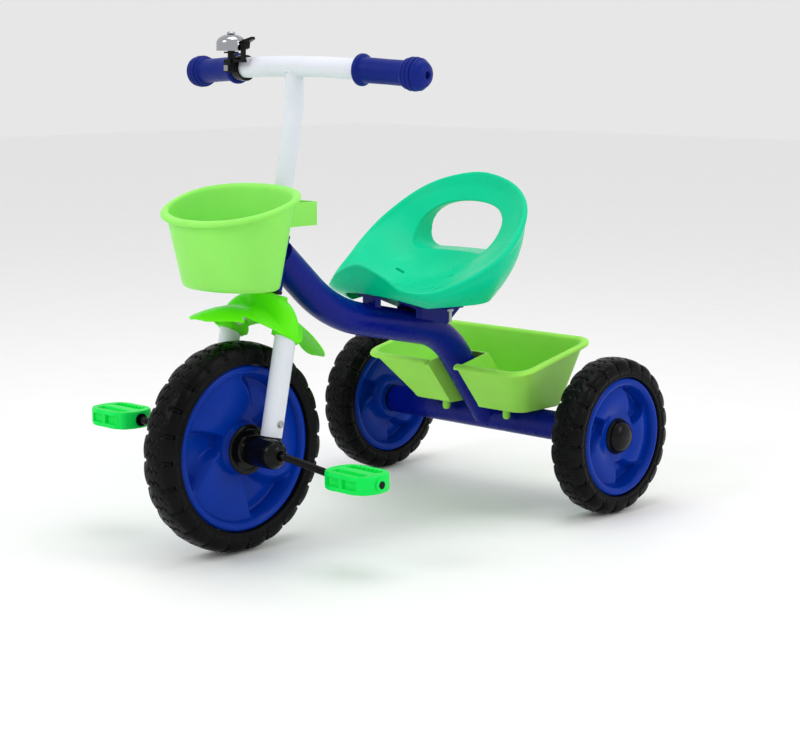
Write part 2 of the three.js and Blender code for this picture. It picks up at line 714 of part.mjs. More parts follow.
// A hand grip along +Z from its inner flange to its closed, ridged end.
function grip() {
  const { length, flangeRadius, barrelRadius, endRadius } = GRIP;
  const bore = BAR.radius + GAP;
  const deep = BAR.halfLength - GRIP.start + 2;
  const outline = [
    [0, 0], [flangeRadius - 2, 0], [flangeRadius, 2], [flangeRadius, 6], [flangeRadius - 2, 8],
    [barrelRadius, 11], [barrelRadius, length - 29], [endRadius - 2, length - 26],
    [endRadius - 1, length - 21], [endRadius, length - 16], [endRadius - 2, length - 8],
    [endRadius * 0.6, length - 2], [0, length],
  ];
  const hollow = solid(turned(bar(bore, -2, deep), 20));
  return surface(solid(turned(outline, 20)).subtract(hollow));
}

function grips() {
  for (const [side, sign] of SIDES) {
    const start = barPoint(sign * GRIP.start);
    const end = barPoint(sign * BAR.halfLength);
    const mesh = piece(`${side}_grip`, grip(), 'gripBlue');
    mesh.position.copy(start);
    mesh.quaternion.setFromUnitVectors(new THREE.Vector3(0, 0, 1), end.sub(start).normalize());
  }
}

function steeringColumn() {
  const holder = new THREE.Group();
  holder.position.copy(steeringOrigin);
  holder.rotation.x = -RAKE;
  root.add(holder);
  piece('head_tube', headTube(), 'frameBlue', holder);
  piece('upper_head_cup', headCup(), 'black', holder).position.z = HEAD_TOP;
  const lower = piece('lower_head_cup', headCup(), 'black', holder);
  lower.position.z = HEAD_TUBE.bottom;
  lower.rotation.x = Math.PI;
  piece('stem', stem(), 'white', steering);
  const collar = [
    [STEM.radius + GAP, 0], [COLLAR.radius - 2, 0], [COLLAR.radius, 2], [COLLAR.radius, COLLAR.height - 1],
    [COLLAR.radius - 1, COLLAR.height], [STEM.radius + GAP, COLLAR.height],
  ];
  piece('stem_collar', turned(collar, 20), 'chrome', steering).position.z = STEM_BOTTOM;
  piece('handlebar', handlebar(), 'white');
  grips();
}

// ---------------------------------------------------------------- bell, round its place on the bar

const BELL_POST = { radius: 4.5, ahead: BAR.radius + 6.75 };

function bell() {
  const holder = new THREE.Group();
  holder.position.copy(barPoint(BELL.x));
  root.add(holder);
  piece('bell_clamp', bellClamp(), 'black', holder);
  piece('bell_clamp_screw', bellClampScrew(), 'steel', holder);
  piece('bell_bracket', bellBracket(), 'black', holder);
  piece('bell_dome', bellDome(), 'chrome', holder);
  piece('bell_screw', bellScrew(), 'chrome', holder);
  piece('bell_lever', bellLever(), 'black', holder);
}

const CLAMP = {
  halfWidth: CLAMP_HALF_WIDTH, radius: BAR.radius + 3.35, clearance: 1.3, lugFront: BAR.radius + 13.75,
  lugHalfHeight: 5,
};
const CLAMP_SCREW = { halfWidth: 2.2, headHalfWidth: 3.4, headHeight: 2.1, length: 9 };

function bellClamp() {
  const { halfWidth, radius, clearance, lugFront, lugHalfHeight } = CLAMP;
  const ring = solid(turnedAcross(bar(radius, -halfWidth, halfWidth), 24));
  const lug = solid(box(-halfWidth, halfWidth, -lugFront, 0, -lugHalfHeight, lugHalfHeight));
  const hole = solid(turnedAcross(bar(BAR.radius + clearance, -2 * halfWidth, 2 * halfWidth), 20));
  const slot = CLAMP_SCREW.halfWidth + GAP;
  const screw = solid(box(-slot, slot, -lugFront - 1, GAP - lugFront + CLAMP_SCREW.length, -slot, slot));
  return surface(cut(ring.add(lug), hole, screw));
}

function bellClampScrew() {
  const { halfWidth: shank, headHalfWidth: head, headHeight, length } = CLAMP_SCREW;
  const face = -CLAMP.lugFront - GAP;
  const top = solid(box(-head, head, face - headHeight, face, -head, head));
  const stem = solid(box(-shank, shank, face - 1, length - CLAMP.lugFront, -shank, shank));
  return surface(top.add(stem));
}

// The post under the dome, with an arm and an upright that carry the lever.
function bellBracket() {
  const foot = CLAMP.lugHalfHeight + GAP;
  const y = -BELL_POST.ahead;
  const base = solid(box(-6, 6, y - 7, y + 0.8, foot, foot + 5));
  const post = solid(turned(bar(BELL_POST.radius, foot + 2, BELL.bottom + 14), 16).translate(0, y, 0));
  const plate = solid(turned(bar(9, BELL.bottom - 3, BELL.bottom - 1), 16).translate(0, y, 0));
  const arm = solid(box(0, 27, y - 5, y + 0.5, foot + 1.5, foot + 5));
  const upright = solid(box(20, 27, y - 3, y - 0.6, foot + 2.5, LEVER.pivotZ + 3));
  const pinBore = turned(bar(LEVER.pin + SPIN_GAP, -6, 6), 12).rotateX(Math.PI / 2);
  const pinHole = solid(pinBore.translate(LEVER.pivotX, y, LEVER.pivotZ));
  const screwHole = solid(turned(bar(2.4, BELL.bottom + 4, BELL.bottom + 20), 12).translate(0, y, 0));
  return surface(cut(join(base, post, plate, arm, upright), pinHole, screwHole));
}

function bellDome() {
  const { radius, bottom, height, wall } = BELL;
  const top = bottom + height;
  const outer = [
    [0, bottom], [radius, bottom], [radius, bottom + 9], [radius * 0.9, top - 5], [radius * 0.6, top - 1],
    [0, top],
  ];
  const inner = [
    [0, bottom - 1], [radius - wall, bottom - 1], [radius - wall, bottom + 9],
    [radius * 0.9 - wall, top - 5 - wall], [radius * 0.6, top - 1 - wall], [0, top - wall],
  ];
  const hole = solid(turned(bar(2.5, bottom, top + 2), 12));
  const dome = surface(cut(solid(turned(outer, 20)), solid(turned(inner, 20)), hole));
  return dome.translate(0, -BELL_POST.ahead, 0);
}

function bellScrew() {
  const face = BELL.bottom + BELL.height + GAP;
  const profile = [
    [0, face - 12], [2, face - 12], [2, face], [4, face], [4, face + 1.4], [2.5, face + 2.2], [0, face + 2.2],
  ];
  return turned(profile, 16).translate(0, -BELL_POST.ahead, 0);
}

const LEVER = { pivotX: BELL.radius + 5.5, pivotZ: BELL.bottom + 4.5, pin: 1.5 };

// The thumb lever: a hammer by the dome's side, a pivot pin and a tab that points away.
function bellLever() {
  const { pivotX, pivotZ, pin } = LEVER;
  const y = -BELL_POST.ahead;
  const hammer = BELL.radius + 0.8;
  const outline = new THREE.Shape([
    new THREE.Vector2(hammer, pivotZ + 4), new THREE.Vector2(pivotX - 1, pivotZ - 3),
    new THREE.Vector2(pivotX + 3, pivotZ - 1.5), new THREE.Vector2(pivotX + 4, pivotZ + 5),
    new THREE.Vector2(pivotX + 13, pivotZ + 9), new THREE.Vector2(pivotX + 12, pivotZ + 12),
    new THREE.Vector2(pivotX, pivotZ + 9), new THREE.Vector2(hammer, pivotZ + 9),
  ]);
  const tab = new THREE.ExtrudeGeometry(outline, { depth: 6, bevelEnabled: false });
  tab.rotateX(Math.PI / 2);
  tab.translate(0, y + 6, 0);
  const pinBar = turned(bar(pin, -1, 5), 12);
  pinBar.rotateX(Math.PI / 2);
  pinBar.translate(pivotX, y + 1, pivotZ);
  return surface(solid(tab).add(solid(pinBar)));
}

// ---------------------------------------------------------------- basket

// A closed outline with a blunt back and a rounder front, in the tricycle's frame.
function basketRing({ halfWidth, front, back }, grow, heightAt) {
  const ring = [];
  const middle = (back - front) / 2 + 8;
  const count = 28;
  for (let k = 0; k < count; k += 1) {
    const angle = (2 * Math.PI * k) / count;
    const [c, s] = [Math.cos(angle), Math.sin(angle)];
    const power = s < 0 ? 2 / 2.2 : 2 / 2.3;
    const x = Math.sign(c) * Math.abs(c) ** power * (halfWidth + grow);
    const reach = s < 0 ? front + middle : back - middle;
    const y = middle + Math.sign(s) * Math.abs(s) ** power * (reach + grow);
    ring.push(behindFront(x, y, heightAt(y)));
  }
  return ring;
}

function basket() {
  const rim = (drop) => (y) => BASKET.rimHeight - drop + BASKET.rimSlope * (y - BASKET.back);
  const floor = (height) => () => height;
  const wall = BASKET_WALL;
  const { width: lip, depth } = BASKET_LIP;
  const foot = BASKET.bottom + BASKET_FLOOR.round;
  const rings = [
    basketRing(BASKET_FLOOR, -6, floor(BASKET.bottom)),
    basketRing(BASKET_FLOOR, 0, floor(foot)),
    basketRing(BASKET, -lip, rim(depth)),
    basketRing(BASKET, 0, rim(depth - 2)),
    basketRing(BASKET, -1.5, rim(0)),
    basketRing(BASKET, -lip - wall, rim(1)),
    basketRing(BASKET_FLOOR, -wall, floor(foot + wall)),
    basketRing(BASKET_FLOOR, -6 - wall, floor(BASKET.bottom + wall)),
  ];
  return shell(rings);
}

// A loop on the basket's back that goes round the stem.
function basketClip() {
  const { halfWidth, back, bottom, top, wall } = BASKET_CLIP;
  const wallFoot = BASKET.bottom + BASKET_FLOOR.round;
  const wallTop = BASKET.rimHeight - BASKET_LIP.depth - BASKET.rimSlope * BASKET_LIP.width;
  const wallBack = BASKET.back - BASKET_LIP.width;
  const share = (top - wallFoot) / (wallTop - wallFoot);
  const front = BASKET_FLOOR.back + (wallBack - BASKET_FLOOR.back) * share + GAP;
  const y = (distance) => FRONT_AXLE.y + distance;
  const outline = new THREE.Shape([
    new THREE.Vector2(-halfWidth, y(front)), new THREE.Vector2(halfWidth, y(front)),
    new THREE.Vector2(halfWidth, y(back - 6)), new THREE.Vector2(halfWidth - 5, y(back)),
    new THREE.Vector2(5 - halfWidth, y(back)), new THREE.Vector2(-halfWidth, y(back - 6)),
  ]);
  const inner = halfWidth - wall;
  outline.holes.push(new THREE.Path([
    new THREE.Vector2(-inner, y(front + wall)), new THREE.Vector2(inner, y(front + wall)),
    new THREE.Vector2(inner, y(back - wall)), new THREE.Vector2(-inner, y(back - wall)),
  ]));
  const geometry = new THREE.ExtrudeGeometry(outline, { depth: top - bottom, bevelEnabled: false });
  return geometry.translate(0, 0, bottom);
}

// ---------------------------------------------------------------- frame

const TUBE_JOINT_SHIFT = 12.36; // of the main tube's start above the head tube's middle
const TUBE_LEVEL = behindFront(
  0, FRONT_WHEEL.radius + TUBE_BEHIND_WHEEL, SEAT.height - TUBE_UNDER_SEAT.front);
const TUBE_DROP = new THREE.Vector3(0, REAR_AXLE.y - 96, SEAT.height - TUBE_UNDER_SEAT.rear);
const TUBE_FOOT = new THREE.Vector3(0, REAR_AXLE.y - 6, REAR_AXLE.z + 5);

// The main tube runs down from the head tube, levels out under the seat and drops to the rear axle.
function mainTubeRoute() {
  const joint = HEAD_TUBE.bottom + HEAD_TUBE.length / 2 + TUBE_JOINT_SHIFT;
  const head = steeringAxisAt(steeringOrigin.z + joint * Math.cos(RAKE));
  const corners = [head, TUBE_LEVEL, TUBE_DROP, TUBE_FOOT];
  return new Route(corners, [190, 110], 4);
}

// The point of the steering axis at a height.
function steeringAxisAt(height) {
  const y = steeringOrigin.y + (height - steeringOrigin.z) * Math.tan(RAKE);
  return new THREE.Vector3(0, y, height);
}

// A solid copy of the main tube, grown by a clearance, that cuts the plates standing on it.
function mainTubeCutter() {
  return solid(swept(mainTubeRoute(), TUBE.radius + GAP, 0, 16));
}

function mainTube() {
  const tube = solid(swept(mainTubeRoute(), TUBE.radius, TUBE.wall, 16));
  const head = turned(bar(HEAD_TUBE.radius + GAP, 0, HEAD_TOP + 80), 20);
  head.rotateX(-RAKE);
  head.translate(0, steeringOrigin.y, steeringOrigin.z);
  const axle = turnedAcross(bar(AXLE_TUBE.radius + GAP, -60, 60), 20);
  axle.translate(0, REAR_AXLE.y, REAR_AXLE.z);
  return surface(largest(cut(tube, solid(head), solid(axle))));
}

// The biggest separate body of a cut piece; slivers beyond a joint are dropped.
function largest(manifold) {
  const bodies = manifold.decompose();
  return bodies.reduce((best, next) => (next.volume() > best.volume() ? next : best));
}

function rearAxle() {
  const holder = new THREE.Group();
  holder.position.copy(REAR_AXLE);
  root.add(holder);
  const half = AXLE_TUBE.length / 2;
  const { radius, wall } = AXLE_TUBE;
  const tube = solid(turnedAcross(sleeve(radius, radius - wall, -half, half), 20));
  const holes = SIDES.map(([, sign]) =>
    solid(turned(bar(TRAY_SCREW.radius + GAP, 0, 40), 12).translate(sign * TRAY_SCREW.spread, 0, 0)));
  piece('rear_axle_tube', surface(cut(tube, ...holes)), 'frameBlue', holder);
  const rodHalf = REAR_TRACK / 2 + HUB_FACE + 5;
  piece('rear_axle_rod', turnedAcross(bar(AXLE_RADIUS, -rodHalf, rodHalf), 16), 'steel', holder);
  const bore = AXLE_RADIUS + GAP;
  const inner = AXLE_TUBE.radius - AXLE_TUBE.wall - GAP;
  const bush = [
    [bore, half - 18], [inner, half - 18], [inner, half + GAP], [AXLE_TUBE.radius, half + GAP],
    [AXLE_TUBE.radius, BUSH_END], [bore, BUSH_END],
  ];
  for (const [side, sign] of SIDES) {
    const mesh = piece(`${side}_axle_bush`, turnedAcross(bush, 20), 'black', holder);
    mesh.rotation.y = sign > 0 ? 0 : Math.PI;
  }
}

// ---------------------------------------------------------------- seat and the steel under it

const seatCentre = new THREE.Vector3(0, REAR_AXLE.y - SEAT.ahead, SEAT.height);
const RAIL = { halfWidth: 17, front: 104, rear: 60, high: 16, low: -4 }; // round the seat bolts
const CROSS_PLATE = { halfWidth: 54, halfDepth: 14 };
const SEAT_BOLT = { radius: 2.5, head: 5.5, below: 25 };

function seatSteel() {
  const holder = new THREE.Group();
  holder.position.copy(seatCentre);
  root.add(holder);
  const tube = mainTubeCutter().translate([-seatCentre.x, -seatCentre.y, -seatCentre.z]);
  const { halfWidth, front, rear, high, low } = RAIL;
  const rail = sidePlate([
    [-front, high - PLATE], [16 - front, high - PLATE], [-36, low - PLATE], [rear, low - PLATE],
    [rear, low], [-36, low], [16 - front, high], [-front, high],
  ], -halfWidth, halfWidth);
  const under = high - PLATE - GAP;
  const [stayFront, stayRear, stayFoot] = [2 - front, 12 - front, -30];
  const outline = [[stayFront, under], [stayFront, stayFoot], [stayRear, stayFoot], [stayRear, under]];
  const stay = solid(sidePlate(outline, -11, 11));
  piece('seat_front_stay', surface(largest(stay.subtract(tube))), 'frameBlue', holder);
  const gusset = [[-34, low - PLATE - GAP], [-34, -60], [0, -60], [22, -34], [rear - 2, low - PLATE - GAP]];
  for (const [side, sign] of SIDES) {
    const edges = [sign * halfWidth, sign * (halfWidth - PLATE)].sort((a, b) => a - b);
    const plate = largest(solid(sidePlate(gusset, ...edges)).subtract(tube));
    piece(`${side}_seat_gusset`, surface(plate), 'frameBlue', holder);
  }
  const wing = solid(box(-CROSS_PLATE.halfWidth, CROSS_PLATE.halfWidth, -CROSS_PLATE.halfDepth,
    CROSS_PLATE.halfDepth, low - PLATE, low));
  const holes = boltPlaces().map(([x, y]) =>
    solid(turned(bar(SEAT_BOLT.radius + GAP, -20, 20), 12).translate(x, y, 0)));
  piece('seat_bracket', surface(cut(solid(rail).add(wing), ...holes)), 'frameBlue', holder);
}

// The seat bolts round the seat's centre, with the height of the steel under each.
function boltPlaces() {
  return SIDES.map(([, sign]) => [sign * SEAT.boltSpread, 0, RAIL.low]);
}

// The rim of the seat, from the middle of the back round the rider's left to the front hump:
// shares of the half width, the length behind the front and the rise.
const SEAT_RIM = [
  [0, 1, 1], [0.36, 0.98, 0.96], [0.64, 0.93, 0.88], [0.84, 0.85, 0.76], [0.97, 0.72, 0.6],
  [1, 0.58, 0.44], [0.95, 0.46, 0.33], [0.84, 0.3, 0.22], [0.68, 0.16, 0.15], [0.49, 0.06, 0.17],
  [0.31, 0.015, 0.27], [0, 0, 0.35],
];
const SEAT_FRONT = 121; // the front hump, ahead of the bolts

function seatRim() {
  const toPoint = ([x, y, z]) =>
    new THREE.Vector3((x * SEAT.width) / 2, y * SEAT.length - SEAT_FRONT, z * SEAT.rise);
  const left = SEAT_RIM.map(toPoint);
  const right = left.slice(1, -1).reverse().map(({ x, y, z }) => new THREE.Vector3(-x, y, z));
  const curve = new THREE.CatmullRomCurve3([...left, ...right], true, 'centripetal');
  const points = curve.getSpacedPoints(32);
  points.pop();
  return points.reverse();
}

// A ring of the seat between the pan's middle and the rim. Close to the rim it climbs, most at the back.
function seatRing(rimPoints, share, sink) {
  const pan = new THREE.Vector3(0, -30, SEAT_PAN);
  return rimPoints.map((point) => {
    const backward = Math.max(0, point.y / (SEAT.length - SEAT_FRONT));
    const climb = share ** (1.7 + 2.4 * backward ** 2);
    const x = pan.x + (point.x - pan.x) * share;
    const y = pan.y + (point.y - pan.y) * share;
    return new THREE.Vector3(x, y, pan.z + (point.z - pan.z) * climb - sink);
  });
}

const SEAT_PAN = 22; // the pan's lowest point, above the seat's bottom edge

// A ring of the outer skirt, from the rim down to the seat's bottom edge.
function skirtRing(rimPoints, down, inset) {
  return rimPoints.map((point) => {
    const footY = point.y > -30 ? -30 + (point.y + 30) * 0.7 : -30 + (point.y + 30) * 0.93;
    const foot = new THREE.Vector3(point.x * 0.66, footY, Math.max(0, (-point.y - 70) * 0.34));
    const eased = down ** 2;
    const x = point.x + (foot.x - point.x) * eased;
    const y = point.y + (foot.y - point.y) * eased;
    const z = point.z + (foot.z - point.z) * down;
    const middle = new THREE.Vector3(x, y + 30, 0).normalize();
    return new THREE.Vector3(x - middle.x * inset, y - middle.y * inset, z);
  });
}

function seat() {
  const rimPoints = seatRim();
  const { wall } = SEAT;
  const outside = [0.3, 0.6, 0.8, 0.93].map((share) => seatRing(rimPoints, share, 0));
  const skirt = [0.1, 0.45, 1].map((down) => skirtRing(rimPoints, down, 0));
  const skirtInside = [1, 0.45, 0.14].map((down) => skirtRing(rimPoints, down, wall));
  const inside = [0.9, 0.76, 0.56, 0.28].map((share) => seatRing(rimPoints, share, wall * 1.4));
  const rings = [...outside, rimPoints, ...skirt, ...skirtInside, ...inside];
  const body = solid(shell(rings.reverse()));
  const hole = solid(seatHole());
  const bosses = boltPlaces().map(([x, y, steel]) =>
    solid(turned(bar(7, steel + GAP, SEAT_PAN + 5), 16).translate(x, y, 0)));
  const bores = boltPlaces().flatMap(([x, y]) => [
    solid(turned(bar(SEAT_BOLT.radius + GAP, -20, 90), 12).translate(x, y, 0)),
    solid(turned(bar(SEAT_BOLT.head + GAP, SEAT_PAN, 90), 12).translate(x, y, 0)),
  ]);
  return surface(cut(join(body, ...bosses), hole, ...bores));
}

// The hand hole in the back: a rounded outline, wider below, pushed through from front to back.
function seatHole() {
  const { width, bottom, top } = SEAT_HOLE;
  const half = width / 2;
  const shape = new THREE.Shape();
  const middle = bottom + (top - bottom) * 0.42;
  shape.moveTo(half * 0.75, bottom);
  shape.quadraticCurveTo(half, bottom + 4, half, middle);
  shape.bezierCurveTo(half, top - 8, half * 0.5, top, 0, top);
  shape.bezierCurveTo(-half * 0.5, top, -half, top - 8, -half, middle);
  shape.quadraticCurveTo(-half, bottom + 4, -half * 0.75, bottom);
  shape.closePath();
  const geometry = new THREE.ExtrudeGeometry(shape, { depth: 140, curveSegments: 6, bevelEnabled: false });
  geometry.rotateX(Math.PI / 2);
  return geometry.translate(0, 150, 0);
}

function seatAndBolts() {
  const holder = new THREE.Group();
  holder.position.copy(seatCentre);
  root.add(holder);
  piece('seat', seat(), 'seatGreen', holder);
  const { radius, head, below } = SEAT_BOLT;
  boltPlaces().forEach(([x, y, steel], k) => {
    const [side] = SIDES[k];
    const top = SEAT_PAN + GAP;
    const profile = [
      [0, -below], [radius, -below], [radius, top], [head, top], [head - 1, top + 3], [0, top + 3],
    ];
    const bolt = turned(profile, 12);
    piece(`${side}_seat_bolt`, bolt.translate(x, y, 0), 'steel', holder);
    const under = steel - PLATE - GAP;
    const nut = turned(sleeve(4.6, (radius + GAP) / Math.cos(Math.PI / 6), under - 4, under), 6);
    piece(`${side}_seat_nut`, nut.translate(x, y, 0), 'steel', holder);
  });
}

// ---------------------------------------------------------------- rear tray, round the rear axle's middle

const TRAY_FLOOR = AXLE_TUBE.radius + 1;
const TRAY_SCREW = { spread: 70, radius: 2.2, head: 4.5 };

// A rounded rectangle. Its height may rise towards the back.
function trayRing(halfX, ahead, behind, radius, heightAt) {
  const ring = [];
  const corners = [[1, 1, 0], [-1, 1, 1], [-1, -1, 2], [1, -1, 3]];
  const steps = 4;
  for (const [sideX, sideY, quarter] of corners) {
    const centreX = sideX * (halfX - radius);
    const centreY = sideY > 0 ? behind - radius : radius - ahead;
    for (let k = 0; k <= steps; k += 1) {
      const angle = (quarter + k / steps) * (Math.PI / 2);
      const y = centreY + radius * Math.sin(angle);
      ring.push(new THREE.Vector3(centreX + radius * Math.cos(angle), y, heightAt(y)));
    }
  }
  return ring;
}

function trayRims(drop, inset, radius) {
  const { rimAhead, rimBehind, width } = TRAY;
  const slope = (TRAY_RIM.rear - TRAY_RIM.front) / (rimAhead + rimBehind);
  const height = (y) => TRAY_FLOOR + TRAY_RIM.front - drop + slope * (y + rimAhead);
  return trayRing(width / 2 - inset, rimAhead - inset, rimBehind - inset, radius, height);
}

function trayFloor(rise, inset, radius) {
  const height = TRAY_FLOOR + rise;
  const { floorWidth, floorAhead, floorBehind } = TRAY;
  return trayRing(floorWidth / 2 - inset, floorAhead - inset, floorBehind - inset, radius, () => height);
}

// The slot for the main tube: open at the front, its back edge lying along the tube's rear side.
function traySlot(clearance, halfX) {
  const run = TUBE_FOOT.clone().sub(TUBE_DROP); // the tube's last run
  const lean = new THREE.Vector2(run.y, run.z).normalize();
  const away = new THREE.Vector2(-lean.y, lean.x).multiplyScalar(TUBE.radius + clearance);
  const foot = new THREE.Vector2(TUBE_FOOT.y - REAR_AXLE.y, TUBE_FOOT.z - REAR_AXLE.z).add(away);
  const at = (height) => foot.x + ((height - foot.y) * lean.x) / lean.y;
  const low = TRAY_FLOOR - 12;
  const high = TRAY_FLOOR + TRAY_RIM.rear + 10;
  const front = -TRAY.rimAhead - 20;
  return sidePlate([[front, low], [at(low), low], [at(high), high], [front, high]], -halfX, halfX);
}

function tray() {
  const { lip, lipDepth } = TRAY_RIM;
  const outer = [
    trayFloor(0, 3, 18), trayFloor(4, 0, 20), trayRims(lipDepth, lip, 22), trayRims(lipDepth - 1, 0.5, 27),
    trayRims(1.5, 0, 27), trayRims(0, 1.5, 26),
  ];
  const inner = [
    trayRims(0.5, lip + TRAY_WALL, 20), trayFloor(4 + TRAY_WALL, TRAY_WALL, 18),
    trayFloor(TRAY_WALL, 3 + TRAY_WALL, 16),
  ];
  const body = solid(shell([...outer, ...inner]));
  const envelope = solid(shell([...outer.slice(0, 2), trayRims(lipDepth - 1, lip, 22)]));
  const halfSlot = TUBE.radius + 5;
  const walls = solid(traySlot(5 + TRAY_WALL, halfSlot + TRAY_WALL)).intersect(envelope);
  const pegs = SIDES.map(([, sign]) =>
    solid(turned(bar(TRAY_PEG.radius, TRAY_FLOOR - TRAY_PEG.depth, TRAY_FLOOR + 1), 12)
      .translate(sign * TRAY_PEG.spread, -TRAY_PEG.ahead, 0)));
  const holes = SIDES.map(([, sign]) =>
    solid(turned(bar(TRAY_SCREW.radius + GAP, 0, 60), 12).translate(sign * TRAY_SCREW.spread, 0, 0)));
  return surface(cut(join(body, walls, ...pegs), solid(traySlot(5, halfSlot)), ...holes));
}

function trayAndScrews() {
  const holder = new THREE.Group();
  holder.position.copy(REAR_AXLE);
  root.add(holder);
  piece('tray', tray(), 'trayGreen', holder);
  const seatFace = TRAY_FLOOR + TRAY_WALL + GAP;
  const { radius, head, spread } = TRAY_SCREW;
  for (const [side, sign] of SIDES) {
    const profile = [
      [0, 9], [radius, 9], [radius, seatFace], [head, seatFace], [head - 1, seatFace + 2.2],
      [0, seatFace + 2.4],
    ];
    const screw = turned(profile, 12);
    piece(`${side}_tray_screw`, screw.translate(sign * spread, 0, 0), 'steel', holder);
  }
}

// ---------------------------------------------------------------- the whole tricycle

frontWheel();
pedals();
rearWheels();
fork();
piece('mudguard', mudguard(), 'guardGreen', steering);
steeringColumn();
bell();
piece('basket', basket(), 'basketGreen');
piece('basket_clip', basketClip(), 'basketGreen');
piece('main_tube', mainTube(), 'frameBlue');
rearAxle();
seatSteel();
seatAndBolts();
trayAndScrews();

export default root;
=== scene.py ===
# The looks of the child's tricycle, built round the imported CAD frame. Shapes are written in
# millimetres in a local frame and placed in metres, in the CAD model's own frame.
import json
import math

import bmesh
import bpy
from mathutils import Matrix, Vector


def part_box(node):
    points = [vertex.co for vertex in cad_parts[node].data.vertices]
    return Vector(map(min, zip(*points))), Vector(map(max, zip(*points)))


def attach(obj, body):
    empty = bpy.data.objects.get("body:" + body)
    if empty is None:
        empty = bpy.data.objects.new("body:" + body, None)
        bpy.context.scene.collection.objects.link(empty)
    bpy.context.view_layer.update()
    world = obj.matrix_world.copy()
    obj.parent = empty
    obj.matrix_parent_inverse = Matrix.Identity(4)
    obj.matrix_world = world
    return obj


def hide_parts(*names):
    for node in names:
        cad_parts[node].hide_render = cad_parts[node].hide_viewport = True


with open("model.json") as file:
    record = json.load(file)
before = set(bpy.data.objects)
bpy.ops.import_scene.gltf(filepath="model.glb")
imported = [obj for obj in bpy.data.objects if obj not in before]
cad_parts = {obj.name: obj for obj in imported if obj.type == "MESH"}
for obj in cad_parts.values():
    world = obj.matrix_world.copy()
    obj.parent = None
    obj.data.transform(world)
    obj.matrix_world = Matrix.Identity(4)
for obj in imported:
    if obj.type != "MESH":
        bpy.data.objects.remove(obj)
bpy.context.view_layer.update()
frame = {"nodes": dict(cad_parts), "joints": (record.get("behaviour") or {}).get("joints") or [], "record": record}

MM = 0.001
SCENE = bpy.context.scene
UNMOVED = Matrix.Identity(4)
JOINTS = {joint["name"]: joint for joint in frame["joints"]}
SIDES = (("left", 1), ("right", -1))


def joint_place(name):
    return Vector(JOINTS[name]["pos_m"])


FRONT = joint_place("front_wheel_spin")
REAR_AXLE = Vector((0, *joint_place("left_rear_wheel_spin").yz))
STEER_AXIS = Vector(JOINTS["steering_turn"]["axis"]).normalized()
RAKE = math.atan2(STEER_AXIS.y, STEER_AXIS.z)
STEERING = Matrix.Translation(joint_place("steering_turn")) @ Matrix.Rotation(-RAKE, 4, "X")
ACROSS = Matrix.Rotation(math.pi / 2, 4, "Y")
MIRROR = Matrix.Diagonal((-1, 1, 1, 1))


def flip(sign):
    return UNMOVED if sign > 0 else MIRROR


def shift(x, y, z):
    return Matrix.Translation((x * MM, y * MM, z * MM))


def behind_front(x, back, height):
    """A point given in millimetres: across, behind the front axle, above the floor."""
    return Vector((x * MM, FRONT.y + back * MM, height * MM))


def in_steering(point):
    """A world point in metres, in the steering frame's millimetres."""
    return STEERING.inverted() @ point / MM


# ---- materials


def linear(hex_colour):
    channels = [((hex_colour >> bits) & 255) / 255 for bits in (16, 8, 0)]
    return [c / 12.92 if c <= 0.04045 else ((c + 0.055) / 1.055) ** 2.4 for c in channels]


def node(tree, kind, **values):
    made = tree.nodes.new(kind)
    for key, value in values.items():
        if key in made.inputs:
            made.inputs[key].default_value = value
        else:
            setattr(made, key, value)
    return made


def noise(tree, coords, scale, detail=2.0, roughness=0.5):
    made = node(tree, "ShaderNodeTexNoise", Scale=scale, Detail=detail, Roughness=roughness)
    tree.links.new(coords, made.inputs["Vector"])
    return made.outputs["Fac"]


def remap(tree, value, low, high, from_low=0.3, from_high=0.7):
    span = {"From Min": from_low, "From Max": from_high, "To Min": low, "To Max": high}
    made = node(tree, "ShaderNodeMapRange", **span)
    tree.links.new(value, made.inputs["Value"])
    return made.outputs["Result"]


DRIFT_SCALE, DUST_SCALE, SHEEN_SCALE, WAVE_SCALE = 14, 60, 45, 70
TINT_LIFT, DUST_LIFT, LEAST_ROUGHNESS = 0.01, 0.05, 0.02
MIX_FACTOR, MIX_A, MIX_B, MIX_RESULT = 0, 6, 7, 2


